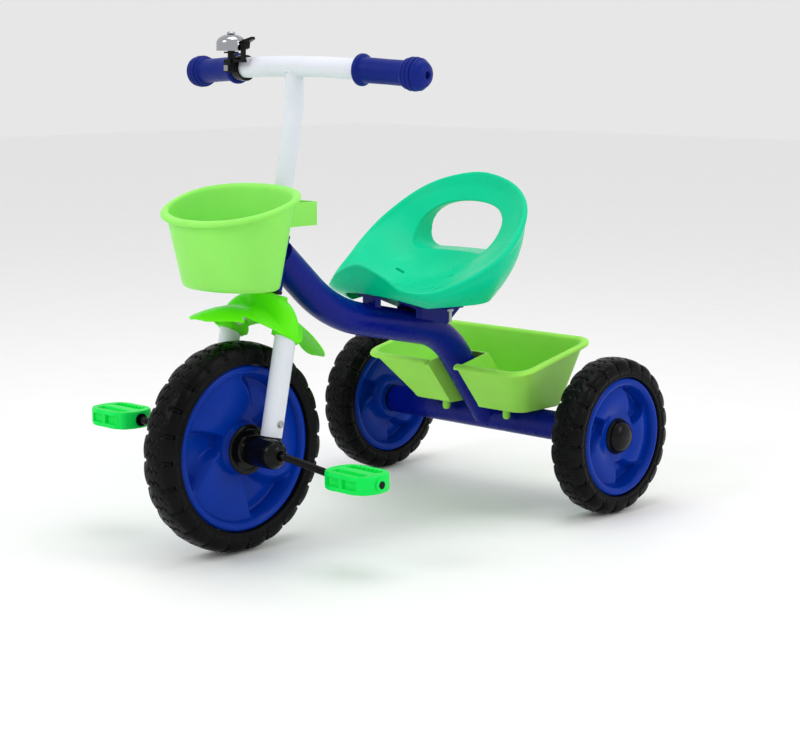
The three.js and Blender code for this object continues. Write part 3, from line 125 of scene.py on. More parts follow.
def finish(name, colour, roughness, tint, spread, grain, depth, peel=0, shader=None, specks=0,
           stretch=(1, 1, 1)):
    """A procedural finish: drifting colour and roughness, a fine grain and a slow waviness.

    The depth of the grain and of the waviness, peel, are in metres."""
    material = bpy.data.materials.new(name)
    material.use_nodes = True
    tree = material.node_tree
    link = tree.links.new
    principled = tree.nodes["Principled BSDF"]
    for key, value in (shader or {}).items():
        principled.inputs[key].default_value = value
    coordinates = node(tree, "ShaderNodeTexCoord")
    mapping = node(tree, "ShaderNodeMapping", Scale=stretch)
    link(coordinates.outputs["Object"], mapping.inputs["Vector"])
    coords = mapping.outputs["Vector"]
    base = linear(colour)
    mix = node(tree, "ShaderNodeMix", data_type="RGBA")
    mix.inputs[MIX_A].default_value = [c * (1 - tint) for c in base] + [1]
    mix.inputs[MIX_B].default_value = [min(1, c * (1 + tint) + TINT_LIFT * tint) for c in base] + [1]
    link(remap(tree, noise(tree, coords, DRIFT_SCALE, 3), 0, 1), mix.inputs[MIX_FACTOR])
    colour_out = mix.outputs[MIX_RESULT]
    if specks:
        dust = node(tree, "ShaderNodeMix", data_type="RGBA")
        dust.inputs[MIX_B].default_value = [min(1, c + DUST_LIFT) for c in base] + [1]
        link(colour_out, dust.inputs[MIX_A])
        share = remap(tree, noise(tree, coords, DUST_SCALE, 6, 0.7), 0, specks, 0.5, 0.8)
        link(share, dust.inputs[MIX_FACTOR])
        colour_out = dust.outputs[MIX_RESULT]
    link(colour_out, principled.inputs["Base Color"])
    rough = remap(tree, noise(tree, coords, SHEEN_SCALE, 4),
                  max(LEAST_ROUGHNESS, roughness - spread), roughness + spread)
    link(rough, principled.inputs["Roughness"])
    fine = node(tree, "ShaderNodeBump", Strength=1.0, Distance=depth)
    link(noise(tree, coords, grain, 4, 0.6), fine.inputs["Height"])
    normal = fine.outputs["Normal"]
    if peel:
        slow = node(tree, "ShaderNodeBump", Strength=1.0, Distance=peel)
        link(noise(tree, coords, WAVE_SCALE, 1), slow.inputs["Height"])
        link(normal, slow.inputs["Normal"])
        normal = slow.outputs["Normal"]
    link(normal, principled.inputs["Normal"])
    return material


ENAMEL = {"Coat Weight": 0.1, "Coat Roughness": 0.05, "Specular IOR Level": 0.1}
MOULDED = {"Specular IOR Level": 0.1}
THIN = {"Specular IOR Level": 0.1, "Subsurface Weight": 0.4, "Subsurface Scale": 0.005}
RUBBER = {"Specular IOR Level": 0.07}
HARD_BLACK = {"Specular IOR Level": 0.15}
METAL = {"Metallic": 1.0}
# Colour, roughness, tint, spread of roughness, scale and depth of the grain, peel, shader values.
FINISHES = {
    "frame_blue": (0x02127C, 0.28, 0.12, 0.05, 700, 0.00003, 0.0001, ENAMEL),
    "white_enamel": (0xDEE1EA, 0.25, 0.03, 0.05, 700, 0.00003, 0.00008, ENAMEL),
    "rim_blue": (0x002E94, 0.2, 0.08, 0.05, 1100, 0.00003, 0.00012, MOULDED),
    "grip_blue": (0x0C2078, 0.4, 0.08, 0.07, 1500, 0.00008, 0, MOULDED),
    "tyre_black": (0x060607, 0.3, 0.25, 0.08, 1300, 0.0001, 0.00015, RUBBER, 0.04),
    "black_plastic": (0x050506, 0.18, 0.2, 0.05, 1400, 0.00003, 0, HARD_BLACK),
    "black_steel": (0x050506, 0.22, 0.2, 0.05, 900, 0.00003, 0.00005, ENAMEL),
    "zinc_steel": (0x9EA1A3, 0.3, 0.08, 0.08, 1800, 0.00003, 0, METAL, 0, (1, 1, 4)),
    "bell_chrome": (0xA9ABB0, 0.07, 0.03, 0.03, 1500, 0.000006, 0.00002, METAL),
    "basket_green": (0x92E866, 0.33, 0.05, 0.06, 1000, 0.00004, 0.00015, THIN),
    "tray_green": (0xA2EA5C, 0.36, 0.06, 0.06, 1000, 0.00004, 0.00015, THIN),
    "guard_green": (0x66EE16, 0.28, 0.06, 0.05, 1000, 0.00003, 0.00012, THIN),
    "pedal_green": (0x10E858, 0.38, 0.06, 0.06, 1200, 0.00005, 0.0001, MOULDED),
    "seat_green": (0x00CC96, 0.3, 0.05, 0.05, 1000, 0.00003, 0.00015, MOULDED),
}
FINISH = {name: finish(name, *values) for name, values in FINISHES.items()}

# ---- meshes


WELD = 2e-6


def raw(name, points, faces, place=UNMOVED):
    """A mesh object from points in millimetres, welded and facing outwards."""
    mesh = bpy.data.meshes.new(name)
    mesh.from_pydata([place @ (Vector(point) * MM) for point in points], [], faces)
    work = bmesh.new()
    work.from_mesh(mesh)
    bmesh.ops.remove_doubles(work, verts=work.verts, dist=WELD)
    bmesh.ops.recalc_face_normals(work, faces=work.faces)
    work.to_mesh(mesh)
    work.free()
    made = bpy.data.objects.new(name, mesh)
    SCENE.collection.objects.link(made)
    return made


def loft(name, rings, place=UNMOVED, closed=False, caps=True):
    """A skin over rings of equal length, either joined end to end or capped."""
    count = len(rings[0])
    points = [point for ring in rings for point in ring]
    faces = []
    for r in range(len(rings) if closed else len(rings) - 1):
        low, high = r * count, ((r + 1) % len(rings)) * count
        for k in range(count):
            after = (k + 1) % count
            faces.append((low + k, low + after, high + after, high + k))
    if caps and not closed:
        last = (len(rings) - 1) * count
        faces.append(tuple(reversed(range(count))))
        faces.append(tuple(range(last, last + count)))
    return raw(name, points, faces, place)


def circle(steps):
    return [2 * math.pi * k / steps for k in range(steps)]


def lathe(name, profile, place=UNMOVED, steps=64):
    """Turned about +Z. The profile is (radius, height) pairs."""
    rings = [[(radius * math.cos(a), radius * math.sin(a), height) for a in circle(steps)]
             for radius, height in profile]
    return loft(name, rings, place, caps=False)


def rounded(profile, radius, steps=4):
    """The profile with each inner corner replaced by a small curve."""
    result = [tuple(profile[0])]
    for before, corner, after in zip(profile, profile[1:], profile[2:]):
        before, corner, after = (Vector(p) for p in (before, corner, after))
        back, ahead = before - corner, after - corner
        reach = min(radius, back.length / 2.05, ahead.length / 2.05)
        start, end = corner + back.normalized() * reach, corner + ahead.normalized() * reach
        for k in range(steps + 1):
            t = k / steps
            result.append(tuple(start.lerp(corner, t).lerp(corner.lerp(end, t), t)))
    result.append(tuple(profile[-1]))
    return result


def route(corners, bends, steps=10):
    """Points along straight runs with round bends."""
    corners = [Vector(corner) for corner in corners]
    points = [corners[0]]
    for before, corner, after, radius in zip(corners, corners[1:], corners[2:], bends):
        inward, outward = (corner - before).normalized(), (after - corner).normalized()
        turn = inward.angle(outward)
        start = corner - inward * radius * math.tan(turn / 2)
        side = (outward - inward * outward.dot(inward)).normalized()
        for k in range(steps + 1):
            angle = turn * k / steps
            points.append(start + inward * radius * math.sin(angle)
                          + side * radius * (1 - math.cos(angle)))
    return points + [corners[-1]]


def stations(points, step):
    """The same line with no run longer than the step."""
    result = [points[0]]
    for start, end in zip(points, points[1:]):
        count = max(1, math.ceil((end - start).length / step))
        result += [start.lerp(end, k / count) for k in range(1, count + 1)]
    return result


def tube(name, points, radius, place=UNMOVED, wall=0.0, sides=40):
    """A round tube along a line, solid where the wall is zero."""
    tangents = []
    for k in range(len(points)):
        before, after = points[max(k - 1, 0)], points[min(k + 1, len(points) - 1)]
        tangents.append((after - before).normalized())
    across = tangents[0].orthogonal().normalized()
    frames = []
    for tangent in tangents:
        across = (across - tangent * across.dot(tangent)).normalized()
        frames.append((across, tangent.cross(across)))

    def rings(size):
        made = []
        for point, (u, v) in zip(points, frames):
            made.append([point + (u * math.cos(a) + v * math.sin(a)) * size for a in circle(sides)])
        return made

    if wall:
        return loft(name, rings(radius) + rings(radius - wall)[::-1], place, closed=True)
    return loft(name, rings(radius), place)


def prism(name, outline, low, high, place=UNMOVED):
    """An outline of (x, y) pairs raised from low to high along +Z."""
    return loft(name, [[(x, y, z) for x, y in outline] for z in (low, high)], place)


def block(x_low, x_high, y_low, y_high, z_low, z_high, place=UNMOVED):
    outline = [(x_low, y_low), (x_high, y_low), (x_high, y_high), (x_low, y_high)]
    return prism("block", outline, z_low, z_high, place)


def modify(piece, kind, **settings):
    modifier = piece.modifiers.new(kind.lower(), kind)
    for key, value in settings.items():
        setattr(modifier, key, value)
    return modifier


def settle(piece):
    """Applies the piece's modifiers."""
    graph = bpy.context.evaluated_depsgraph_get()
    mesh = bpy.data.meshes.new_from_object(piece.evaluated_get(graph))
    old = piece.data
    piece.modifiers.clear()
    piece.data = mesh
    bpy.data.meshes.remove(old)
    return piece


def discard(piece):
    mesh = piece.data
    bpy.data.objects.remove(piece)
    bpy.data.meshes.remove(mesh)


def carve(piece, operation, *tools):
    """A boolean with each tool in turn. The tools are used up."""
    for tool in tools:
        modify(piece, "BOOLEAN", operation=operation, object=tool, solver="EXACT")
        settle(piece)
        discard(tool)
    return piece


def combine(first, *others):
    """One object that holds the meshes of all of them."""
    work = bmesh.new()
    for piece in (first, *others):
        work.from_mesh(piece.data)
    work.to_mesh(first.data)
    work.free()
    for piece in others:
        discard(piece)
    return first


def melt(piece, voxel, rounds):
    """Fuses a piece's overlapping parts into one moulded skin and softens its edges."""
    modify(piece, "REMESH", mode="VOXEL", voxel_size=voxel * MM)
    modify(piece, "SMOOTH", factor=0.5, iterations=rounds)
    return settle(piece)


def done(piece, slot, body, *nodes, sharp=40):
    """Gives a piece its finish and its body, and hides the CAD nodes that it stands for."""
    piece.data.materials.clear()
    piece.data.materials.append(FINISH[slot])
    for polygon in piece.data.polygons:
        polygon.use_smooth = True
    if sharp:
        piece.data.set_sharp_from_angle(angle=math.radians(sharp))
    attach(piece, body)
    if nodes:
        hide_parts(*nodes)
    return piece


def squared(value, power):
    """A power that keeps the value's sign. It squares up an oval's sine and cosine."""
    return math.copysign(abs(value) ** power, value)


def smoothstep(low, high, value):
    t = min(1, max(0, (value - low) / (high - low)))
    return t * t * (3 - 2 * t)


# ---- wheels

TREAD_SAMPLES = 22
FRONT_TYRE = {"radius": 125, "half": 23.5, "bead": 99.1, "lugs": 24}
REAR_TYRE = {"radius": 100, "half": 22.5, "bead": 76.1, "lugs": 22}
CROWN_STEP, CROWN_POINTS, CROWN_CURVE = 1.15, 15, 0.008
SHOULDER_WIDTH = 23.5
SHOULDER = [(18.0, 0.9), (19.6, 2.1), (21.0, 3.9), (22.1, 6.3), (22.8, 9.2)]
LUG = {"lean_from": 12, "lean": 0.16, "width": 3.6, "depth": 2.6, "scallop": 1.1}
ZIGZAG = {"run": 4.2, "reach": 5.0, "width": 2.8, "depth": 1.5, "half": 11, "at": (0.28, 0.72)}
SIPE = {"width": 2.2, "depth": 0.8, "at": 0.5}


def tyre_outline(radius, half, bead):
    """Half of the section, from the middle of the tread to the bead: (across, radius, kind)."""
    outline = []
    for k in range(CROWN_POINTS):
        across = CROWN_STEP * k
        outline.append((across, radius - CROWN_CURVE * across ** 2, "crown"))
    edge = outline[-1][1]
    outline += [(x * half / SHOULDER_WIDTH, edge - drop, "shoulder") for x, drop in SHOULDER]
    side_top, side_low = edge - 10.5, bead + 5.5
    outline += [(half - 0.4, side_top, "side"), (half, side_top - 1.2, "block"),
                (half, (side_top + side_low) / 2, "block"), (half, side_low + 1.6, "block"),
                (half - 0.7, side_low, "side"), (half - 0.9, bead + 3.6, "side"),
                (half - 0.2, bead + 2.4, "side"), (half - 0.6, bead + 1.2, "side"),
                (half - 2.0, bead + 0.3, "side"), (half - 4.5, bead, "side")]
    return outline


def groove(offset, width):
    return 1 - smoothstep(width * 0.25, width * 0.75, abs(offset))


def tread_depth(x, kind, along, pitch):
    """How deep the tread pattern cuts at a place across, and along one pitch of the pattern."""
    nearest = min(along, pitch - along)
    across = abs(x)
    if kind in ("side", "block"):
        return 0.0
    lean = (across - LUG["lean_from"]) * LUG["lean"]
    lug = groove(nearest - lean * 0.2, LUG["width"]) * LUG["depth"] * smoothstep(9.5, 14, across)
    lug += LUG["scallop"] * abs(math.cos(math.pi * along / pitch)) ** 3 * smoothstep(6, 16, across)
    if kind == "shoulder":
        return lug
    zigzag = abs((across / ZIGZAG["run"]) % 2 - 1) * ZIGZAG["reach"] - ZIGZAG["reach"] / 2
    middle = 0.0
    if across < ZIGZAG["half"]:
        for share in ZIGZAG["at"]:
            cut = groove(along - pitch * share - zigzag, ZIGZAG["width"])
            middle = max(middle, cut * ZIGZAG["depth"])
        middle *= 1 - smoothstep(8.8, 10.6, across)
    sipe = groove(along - pitch * SIPE["at"], SIPE["width"]) * SIPE["depth"]
    sipe = sipe * smoothstep(11, 12, across) * (1 - smoothstep(15, 16, across))
    return max(lug, middle, sipe)


def tyre(name, size, place):
    """A tyre about +X with shoulder lugs, a zigzag crown and raised blocks on its sides."""
    side = tyre_outline(size["radius"], size["half"], size["bead"])
    section = side[::-1] + [(-x, r, kind) for x, r, kind in side[1:]]
    steps = size["lugs"] * TREAD_SAMPLES
    pitch = 2 * math.pi * size["radius"] / size["lugs"]
    rings = []
    for x, r, kind in section:
        ring = []
        for k in range(steps):
            along = (k % TREAD_SAMPLES) / TREAD_SAMPLES * pitch
            share = along / pitch
            depth = tread_depth(x, kind, along, pitch)
            inward = depth * (1.0 if kind == "crown" else 0.8)
            sideways = depth * (0.0 if kind == "crown" else 0.6)
            if kind == "block":
                edge = smoothstep(0.03, 0.09, share) * (1 - smoothstep(0.91, 0.97, share))
                sideways = 1 - edge
            angle = 2 * math.pi * k / steps
            out, level = math.copysign(abs(x) - sideways, x), r - inward
            ring.append((out, level * math.cos(angle), level * math.sin(angle)))
        rings.append(ring)
    return loft(name, rings, place, closed=True)


HUB_RADIUS, WEB_START, WEB_BULGE = 26, 30, 3.4
BAND_WIDTH, BAND_MIDDLE, BAND_HALF, BAND_CROWN = 11, 5.2, 5.4, 5
PETAL_SLANT = math.radians(22)


def rim_height(r, angle, spec):
    """The face of the rim, out from its middle plane, at a radius and an angle."""
    hub, dish, band, size = spec["hub"], spec["dish"], spec["band"], spec["radius"]
    band_start = size - BAND_WIDTH
    if r <= HUB_RADIUS:
        return hub
    if r >= band_start:
        across = (r - (size - BAND_MIDDLE)) / BAND_HALF
        crown = math.sqrt(max(0, 1 - across * across))
        if r > band_start + 0.8:
            return band - BAND_CROWN + BAND_CROWN * crown
        return dish + (band - dish) * 0.35
    share = (r - WEB_START) / (band_start - WEB_START)
    bulge = dish + WEB_BULGE * math.sin(math.pi * min(1, max(0, share)))
    blend = smoothstep(HUB_RADIUS, WEB_START + 1, r)
    petal = hub * (1 - blend) + bulge * blend
    deep = 0
    for centre in spec["pockets"]:
        twist = PETAL_SLANT * (share - 0.5)
        off = (angle - math.radians(centre) - twist + math.pi) % (2 * math.pi) - math.pi
        width = math.radians(17 + 11 * share)
        if off < 0:
            inside = 1 - smoothstep(width - math.radians(4), width, -off)
        else:
            inside = 1 - smoothstep(width - math.radians(14), width + math.radians(2), off)
        deep = max(deep, inside)
    deep *= smoothstep(0.06, 0.14, share) * (1 - smoothstep(0.90, 0.985, share))
    return petal - deep * spec["depth"]


def rim(name, spec, place):
    """A moulded rim about +X with three raised petals and three deep pockets on each face."""
    size = spec["radius"]
    radii = [spec["bore"], 12, 20, 24.5, 26, 27.5, 29, 31]
    radii += [31 + (size - 13 - 31) * k / 20 for k in range(1, 21)]
    radii += [size - inward for inward in (12, 11, 10.1, 9, 7.5, 5.5, 3.5, 2, 0.9, 0.3)]

    def face(sign, hub):
        local = dict(spec, hub=hub)
        return [[(sign * rim_height(r, a, local), r * math.cos(a), r * math.sin(a))
                 for a in circle(RIM_STEPS)] for r in radii]

    outer = face(1, spec["hub"])
    inner = face(-1, spec["inner_hub"])
    return loft(name, outer + inner[::-1], place, closed=True)


RIM_STEPS = 240
FRONT_RIM = {"radius": 98.5, "dish": 13.5, "band": 20.5, "hub": 21.5, "inner_hub": 21.5,
             "bore": 5.2, "depth": 15, "pockets": (-65, 55, 175)}
REAR_RIM = {"radius": 75.5, "dish": 11.5, "band": 21.5, "hub": 11.4, "inner_hub": 22.4,
            "bore": 5.6, "depth": 13, "pockets": (45, 165, 285)}
HUB_CAP = [(21.2, 11.8), (23.2, 11.8), (23.0, 13.2), (21.2, 14.4), (20.9, 17), (19.6, 20),
           (17, 22.8), (13, 25), (8, 26.3), (0, 26.8)]
HUB_CAP_INSIDE = [(0, 24.8), (14.5, 22), (18.8, 17), (21.2, 11.8)]
HUB_FLANGE = [(4.8, 22.3), (28, 22.3), (30, 23.6), (30, 25), (28.4, 26.3), (24.5, 26.3),
              (23.4, 25.1), (17, 25.1), (15.4, 26.6), (13.6, 31.9), (4.8, 31.9), (4.8, 22.3)]


def wheels():
    place = Matrix.Translation(FRONT)
    tread = tyre("front_tyre_tread", FRONT_TYRE, place)
    done(tread, "tyre_black", "front_wheel", "front_tyre", sharp=50)
    moulded = rim("front_rim_moulded", FRONT_RIM, place)
    done(moulded, "rim_blue", "front_wheel", "front_rim", sharp=50)
    for side, sign in SIDES:
        place = Matrix.Translation(joint_place(f"{side}_rear_wheel_spin")) @ flip(sign)
        body = f"{side}_rear_wheel"
        tread = tyre(f"{side}_rear_tyre_tread", REAR_TYRE, place)
        done(tread, "tyre_black", body, f"{side}_rear_tyre", sharp=50)
        moulded = rim(f"{side}_rear_rim_moulded", REAR_RIM, place)
        done(moulded, "rim_blue", body, f"{side}_rear_rim", sharp=50)
        profile = HUB_CAP + rounded(HUB_CAP_INSIDE, 2)
        cap = lathe(f"{side}_hub_cap_domed", profile, place @ ACROSS)
        done(cap, "black_plastic", body, f"{side}_hub_cap", sharp=60)
        at_front = Matrix.Translation(FRONT) @ flip(sign) @ ACROSS
        flange = lathe(f"{side}_hub_flange_turned", rounded(HUB_FLANGE, 1.1, 3), at_front)
        done(flange, "black_plastic", "front_wheel", f"{side}_hub_flange", sharp=50)


# ---- crank and pedals

CRANK_ARM, CRANK_ANGLE = 35, math.radians(-31)
SPINDLE_END, SPINDLE_START, THROW_START = 213, 128.3, 86
ROD_RADIUS, ROD_BEND = 4.5, 12
PEDAL_HALF_LENGTH, PEDAL_HALF_WIDTH = 37, 28
PEDAL_LEVELS = [(-10.2, 0.955), (-10.5, 0.97), (-9.2, 0.99), (-7, 1.0),
                (7, 1.0), (9.2, 0.99), (10.5, 0.97), (10.2, 0.955)]
HOLLOW = {"half": 25, "near": 6.5, "far": 17.5, "floor": 6.6, "top": 12.5}
TOOTH = {"near": 16, "far": 20.5, "pitch": 6.6, "half": 1.7, "rise": 0.4}
WINDOW = {"start": 2, "end": 23, "near": 22.5, "far": 32, "half": 5.4}


def crank():
    corners = []
    for sign in (-1, 1):
        y, z = sign * CRANK_ARM * math.cos(CRANK_ANGLE), sign * CRANK_ARM * math.sin(CRANK_ANGLE)
        run = [Vector((sign * SPINDLE_END, y, z)), Vector((sign * SPINDLE_START, y, z)),
               Vector((sign * THROW_START, 0, 0))]
        corners += run if sign < 0 else run[::-1]
    points = stations(route(corners, [ROD_BEND] * 4), 12)
    rod = tube("crank_axle_bent", points, ROD_RADIUS, Matrix.Translation(FRONT), sides=28)
    done(rod, "black_steel", "front_wheel", "crank_axle")


def pedal_outline(scale, count=96):
    outline = []
    for angle in circle(count):
        c, s = math.cos(angle), math.sin(angle)
        notch = 1 - 0.03 * smoothstep(0.2, 0.9, math.cos(12 * angle)) * smoothstep(0.55, 0.8, abs(s))
        waist = 1 - 0.10 * smoothstep(0.75, 0.97, abs(c))
        outline.append((squared(c, 0.55) * PEDAL_HALF_LENGTH * scale,
                        squared(s, 0.8) * PEDAL_HALF_WIDTH * scale * notch * waist))
    return outline


def pedal(name, place):
    """A tread block with toothed hollows in both faces and recessed windows in its sides."""
    rings = [[(x, y, z) for x, y in pedal_outline(scale)] for z, scale in PEDAL_LEVELS]
    body = loft(name, rings)
    hollows, teeth, windows = [], [], []
    for face in (-1, 1):
        low, high = sorted((face * HOLLOW["floor"], face * HOLLOW["top"]))
        for side in (-1, 1):
            near, far = sorted((side * HOLLOW["near"], side * HOLLOW["far"]))
            hollows.append(block(-HOLLOW["half"], HOLLOW["half"], near, far, low, high))
            near, far = sorted((side * TOOTH["near"], side * TOOTH["far"]))
            for k in range(-3, 4):
                start, end = k * TOOTH["pitch"] - TOOTH["half"], k * TOOTH["pitch"] + TOOTH["half"]
                teeth.append(block(start, end, near, far, low + TOOTH["rise"], high + TOOTH["rise"]))
    for side in (-1, 1):
        near, far = sorted((side * WINDOW["near"], side * WINDOW["far"]))
        for start, end in ((WINDOW["start"], WINDOW["end"]), (-WINDOW["end"], -WINDOW["start"])):
            windows.append(block(start, end, near, far, -WINDOW["half"], WINDOW["half"]))
    for cutters in (hollows, teeth, windows):
        carve(body, "DIFFERENCE", combine(*cutters))
    modify(body, "BEVEL", width=0.7 * MM, segments=2, limit_method="ANGLE",
           angle_limit=math.radians(35))
    settle(body)
    body.data.transform(place)
    return body


def pedals():
    for side, _ in SIDES:
        body = f"{side}_pedal"
        place = Matrix.Translation(joint_place(f"{side}_pedal_spin"))
        done(pedal(f"{side}_pedal_tread", place), "pedal_green", body, body, sharp=35)
        low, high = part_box(f"{side}_pedal_cap")
        across, reach = (high.y - low.y) / 2 / MM, (high.x - low.x) / MM
        near = low if side == "left" else high
        turned = ACROSS if side == "left" else MIRROR @ ACROSS
        profile = [(0, reach), (across * 0.8, reach), (across, reach * 0.5), (across, 0), (0, 0)]
        end = Matrix.Translation((near.x, (low.y + high.y) / 2, (low.z + high.z) / 2))
        cap = lathe(f"{side}_pedal_cap_turned", rounded(profile, 0.8), end @ turned, 32)
        done(cap, "pedal_green", "front_wheel", f"{side}_pedal_cap")


# ---- fork and mudguard

LEG_SPREAD, LEG_LEAD, LEG_RADIUS = 48, 7.5, 12.7
LEG_BEND, LEG_LEAN = 33, math.radians(75)
LEG_CORNER = 135 + LEG_BEND * math.tan(LEG_LEAN / 2)
LEG_WALL, LEG_FOOT, AXLE_LEAD = 1.5, 19, 18.25
FORK_BOSS = [(5.1, 33), (17.5, 33), (17.5, 66), (16.4, 72.5), (11.5, 78), (8.4, 79), (7.6, 80),
             (5.1, 80), (5.1, 33)]
FORK_POST = [(0, -6), (12.7, -3), (12.7, 18.7), (0, 18.7)]
NECK_FOOT, NECK_TOP, NECK_RADIUS = 150, 183, 24
SLEEVE_RADIUS, SLEEVE_FOOT, SHOULDER_FOOT = LEG_RADIUS + 2.9, 120, 131
BLADE = {"rear": math.radians(45.5), "legs": math.radians(87), "front": math.radians(121.5),
         "end_half": 20, "spread": 42, "inner": 164.0, "outer": 167.0}
SAG_AT, SAG_DEPTH, SAG_POWER = 34, 8.5, 2.2
ARCH_RADIUS, ARCH_HALF = 162, 34
TRIM_SLOPE = math.atan2(11, 31)


def leg_line(bottom):
    top = Vector((9, -LEG_LEAD, LEG_CORNER + 39 / math.tan(LEG_LEAN)))
    corners = [(LEG_SPREAD, -LEG_LEAD, bottom), (LEG_SPREAD, -LEG_LEAD, LEG_CORNER), top]
    return stations(route(corners, [LEG_BEND], 12), 20)


def fork():
    for side, sign in SIDES:
        place = STEERING @ flip(sign)
        leg = tube(f"{side}_fork_leg_tube", leg_line(LEG_FOOT), LEG_RADIUS, place, LEG_WALL, 48)
        done(leg, "white_enamel", "steering", f"{side}_fork_leg")
        at_axle = place @ shift(0, -AXLE_LEAD, 0) @ ACROSS
        boss = lathe(f"{side}_fork_end_boss", rounded(FORK_BOSS, 2.2), at_axle)
        at_leg = place @ shift(LEG_SPREAD, -LEG_LEAD, 0)
        post = lathe("post", rounded(FORK_POST, 0.6), at_leg)
        done(combine(boss, post), "black_plastic", "steering", f"{side}_fork_end", sharp=50)


def guard_sag(x):
    """How far the blade hangs below its middle at a place across."""
    return SAG_DEPTH * (abs(x) / SAG_AT) ** SAG_POWER


def guard_blade():
    """The arched blade over the tyre: narrow at both ends, wide over the legs in its middle."""
    rear, legs, front = BLADE["rear"], BLADE["legs"], BLADE["front"]
    count, across = 60, 24
    rings = []
    for k in range(count + 1):
        along = k / count
        angle = rear + (front - rear) * along
        if angle > legs:
            narrowing = smoothstep(0.12, 1.15, (angle - legs) / (front - legs))
        else:
            narrowing = smoothstep(0.16, 0.52, (legs - angle) / (legs - rear))
        half = BLADE["end_half"] + BLADE["spread"] * (1 - narrowing)
        half *= min(1, 0.5 + 0.5 * math.sqrt(min(1, min(along, 1 - along) / 0.055)))
        ring = []
        for sign, base in ((1, BLADE["inner"]), (-1, BLADE["outer"])):
            for j in range(across + 1):
                x = sign * half * (-1 + 2 * j / across)
                radius = base - guard_sag(x)
                ring.append((x, -AXLE_LEAD + radius * math.cos(angle), radius * math.sin(angle)))
        rings.append(ring)
    return loft("blade", rings, STEERING)


def guard_shoulder():
    """The saddle that spreads from the neck over both legs."""
    rings = []
    for k in range(25):
        down = k / 24
        spread = down ** 1.9
        half_x = NECK_RADIUS + (LEG_SPREAD + SLEEVE_RADIUS - NECK_RADIUS) * spread
        half_y = NECK_RADIUS + (SLEEVE_RADIUS + 2 - NECK_RADIUS) * min(1, 1.25 * spread)
        z = NECK_TOP - (NECK_TOP - SHOULDER_FOOT) * (1 - (1 - down) ** 1.5)
        square = 1 - 0.3 * spread
        ring = []
        for a in circle(64):
            c, s = math.cos(a), math.sin(a)
            ring.append((squared(c, square) * half_x,
                         squared(s, square) * half_y - LEG_LEAD * spread, z))
        rings.append(ring)
    return loft("shoulder", rings, STEERING)


def mudguard():
    """The blade, shoulder, neck and sleeves in one skin, cut by the tyre's arch and at its foot."""
    profile = [(0, NECK_FOOT), (NECK_RADIUS, NECK_FOOT), (NECK_RADIUS, NECK_TOP), (0, NECK_TOP)]
    neck = lathe("neck", profile, STEERING, 48)
    sleeves = []
    for sign in (1, -1):
        place = STEERING @ flip(sign)
        sleeves.append(tube("sleeve", leg_line(SLEEVE_FOOT), SLEEVE_RADIUS, place, sides=40))
    body = combine(guard_blade(), guard_shoulder(), neck, *sleeves)
    body.name = "mudguard_moulded"
    melt(body, 1.3, 10)
    wheel = STEERING @ shift(0, -AXLE_LEAD, 0) @ ACROSS
    across = [-ARCH_HALF + 2 * ARCH_HALF * k / 16 for k in range(17)]
    hollow = [(0, -ARCH_HALF)] + [(ARCH_RADIUS - guard_sag(x), x) for x in across] + [(0, ARCH_HALF)]
    arch = lathe("arch", hollow, wheel, 160)
    foot = shift(0, -LEG_LEAD, 133) @ Matrix.Rotation(-TRIM_SLOPE, 4, "X")
    trims = []
    for sign in (1, -1):
        low, high = sorted((sign * 31, sign * 70))
        trims.append(block(low, high, -60, 30, -40, 0, STEERING @ foot))
    carve(body, "DIFFERENCE", arch, *trims)
    melt(body, 1.2, 6)
    done(body, "guard_green", "steering", "mudguard", sharp=45)


# ---- steering column and handlebar

BAR_SETBACK, BAR_HEIGHT, BAR_RADIUS, BAR_HALF = 102, 565.4, 12.25, 188
BAR_SWEEP, BAR_DROOP, BAR_WALL = 14, 7.4, 1.45
BAR_CURVED, BAR_STRAIGHT = 100, 81
STEM_RADIUS, STEM_BEND, STEM_FOOT = 11, 80, 255.6
GRIP_START, GRIP_LENGTH = 103, 97
HEAD_LOW, HEAD_HIGH = 189, 250
HEAD_CUP = [(9.6, 0.3), (16.5, 0.3), (16.5, 4), (15.2, 5), (9.6, 5)]
STEM_COLLAR = [(11.3, 0), (12.5, 0), (14.5, 1.8), (14.5, 4.6), (13.2, 6), (11.3, 6), (11.3, 0)]
DOME_RADIUS, DOME_SIDE, DOME_RISE = 18.0, 9, 10.8
BELL_KNOB = [(0, 19.4), (5.2, 19.9), (5.2, 21.2), (3.8, 22.6), (0, 22.8)]


def bar_shift(x, at_grip):
    """Curved in the middle and straight outside it. The whole shift is reached at the grip."""
    share = at_grip / (BAR_CURVED ** 2 + 2 * BAR_CURVED * BAR_STRAIGHT)
    near = min(abs(x), BAR_CURVED)
    return share * (near ** 2 + 2 * BAR_CURVED * (abs(x) - near))


def bar_point(x):
    back, height = BAR_SETBACK + bar_shift(x, BAR_SWEEP), BAR_HEIGHT - bar_shift(x, BAR_DROOP)
    return behind_front(x, back, height)


